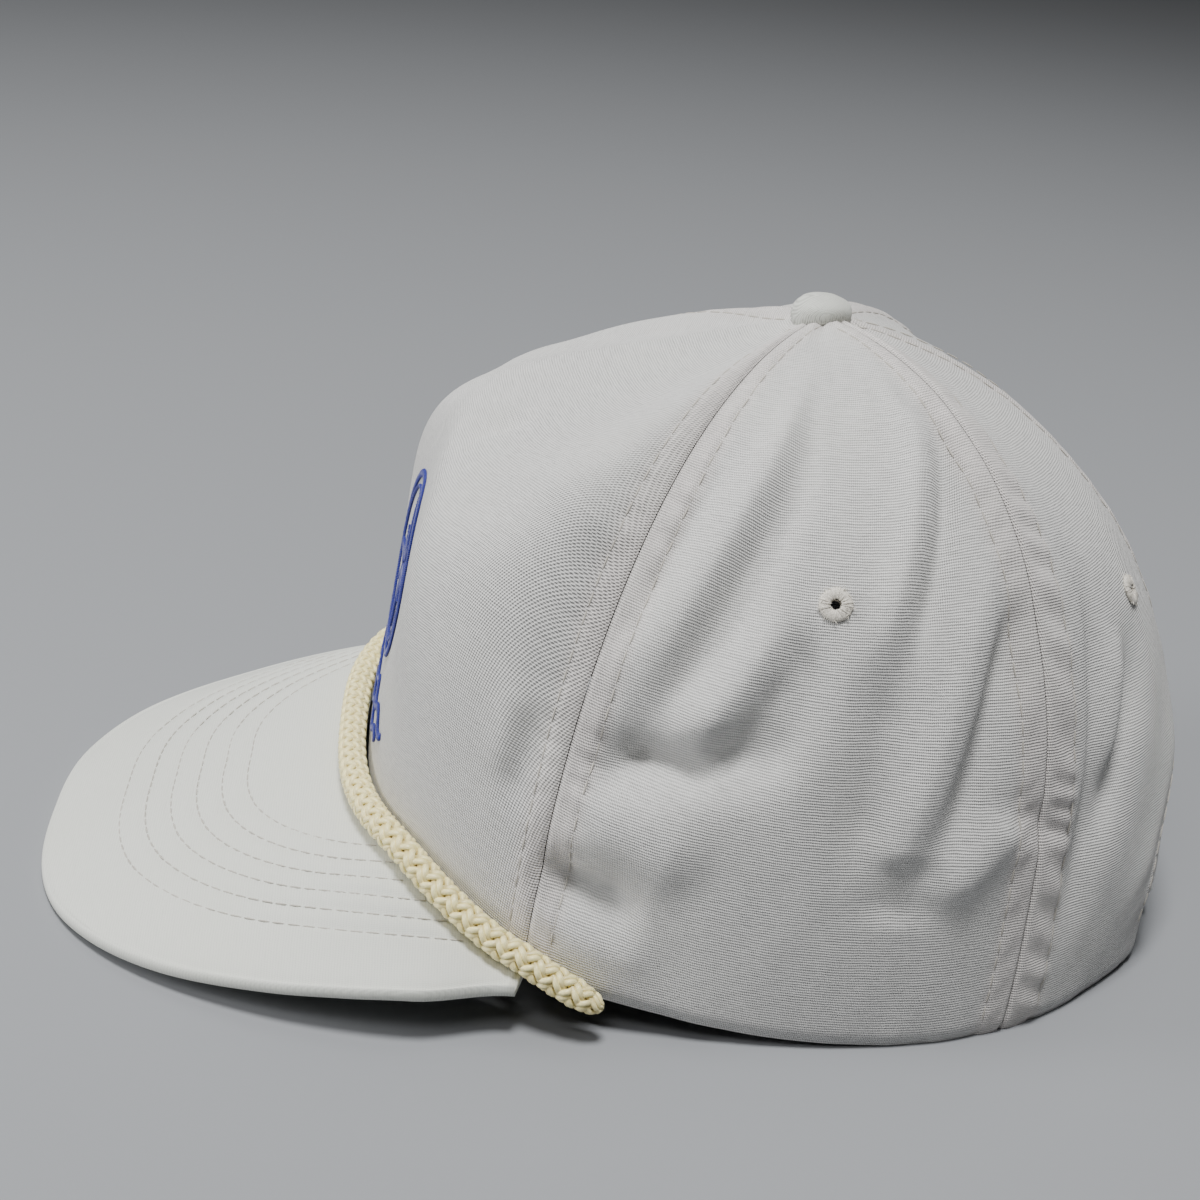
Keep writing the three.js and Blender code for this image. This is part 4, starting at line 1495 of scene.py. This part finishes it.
class CAP_OT_seams(CapPieceOperator, bpy.types.Operator):
    """Sew the rows beside the seams and round the back opening."""

    bl_idname = "cap.seams"
    bl_label = "Seam stitches"

    def execute(self, context):
        build_seam_stitches()
        return {"FINISHED"}


class CAP_OT_peak(CapPieceOperator, bpy.types.Operator):
    """Make the peak and sew its six rows."""

    bl_idname = "cap.peak"
    bl_label = "Peak"

    def execute(self, context):
        build_peak()
        build_peak_rows()
        return {"FINISHED"}


class CAP_OT_button(CapPieceOperator, bpy.types.Operator):
    """Cover the button on top."""

    bl_idname = "cap.button"
    bl_label = "Button"

    def execute(self, context):
        build_button()
        return {"FINISHED"}


class CAP_OT_eyelets(CapPieceOperator, bpy.types.Operator):
    """Sew the four eyelets."""

    bl_idname = "cap.eyelets"
    bl_label = "Eyelets"

    def execute(self, context):
        for seed, (node, _, turn, height) in enumerate(EYELETS):
            build_eyelet(node, turn, height, seed)
        return {"FINISHED"}


class CAP_OT_strap(CapPieceOperator, bpy.types.Operator):
    """Mould the strap across the back opening."""

    bl_idname = "cap.strap"
    bl_label = "Back strap"

    def execute(self, context):
        build_strap()
        return {"FINISHED"}


class CAP_OT_motif(CapPieceOperator, bpy.types.Operator):
    """Embroider the generic motif on the front panel."""

    bl_idname = "cap.motif"
    bl_label = "Front motif"

    def execute(self, context):
        build_motif()
        return {"FINISHED"}


OPERATORS = (
    CAP_OT_stage,
    CAP_OT_cord,
    CAP_OT_panels,
    CAP_OT_seams,
    CAP_OT_peak,
    CAP_OT_button,
    CAP_OT_eyelets,
    CAP_OT_strap,
    CAP_OT_motif,
)


class CAP_PT_panel(bpy.types.Panel):
    """Sizes, colours and pieces of the cap."""

    bl_idname = "CAP_PT_panel"
    bl_label = "Five-Panel Cap"
    bl_space_type = "VIEW_3D"
    bl_region_type = "UI"
    bl_category = "Cap"

    def draw(self, context):
        for group in (context.scene.cap_sizes, context.scene.cap_colours):
            box = self.layout.box()
            for name in group.__annotations__:
                box.prop(group, name)
        for operator in OPERATORS:
            self.layout.operator(operator.bl_idname)


CLASSES = (CapSizes, CapColours, *OPERATORS, CAP_PT_panel)


def register():
    for item in CLASSES:
        bpy.utils.register_class(item)
    bpy.types.Scene.cap_sizes = bpy.props.PointerProperty(type=CapSizes)
    bpy.types.Scene.cap_colours = bpy.props.PointerProperty(type=CapColours)


def unregister():
    del bpy.types.Scene.cap_colours
    del bpy.types.Scene.cap_sizes
    for item in reversed(CLASSES):
        bpy.utils.unregister_class(item)


def main():
    register()
    bpy.ops.cap.stage()
    bpy.ops.cap.cord()
    bpy.ops.cap.panels()
    bpy.ops.cap.seams()
    bpy.ops.cap.peak()
    bpy.ops.cap.button()
    bpy.ops.cap.eyelets()
    bpy.ops.cap.strap()
    bpy.ops.cap.motif()


if __name__ == "__main__":
    main()
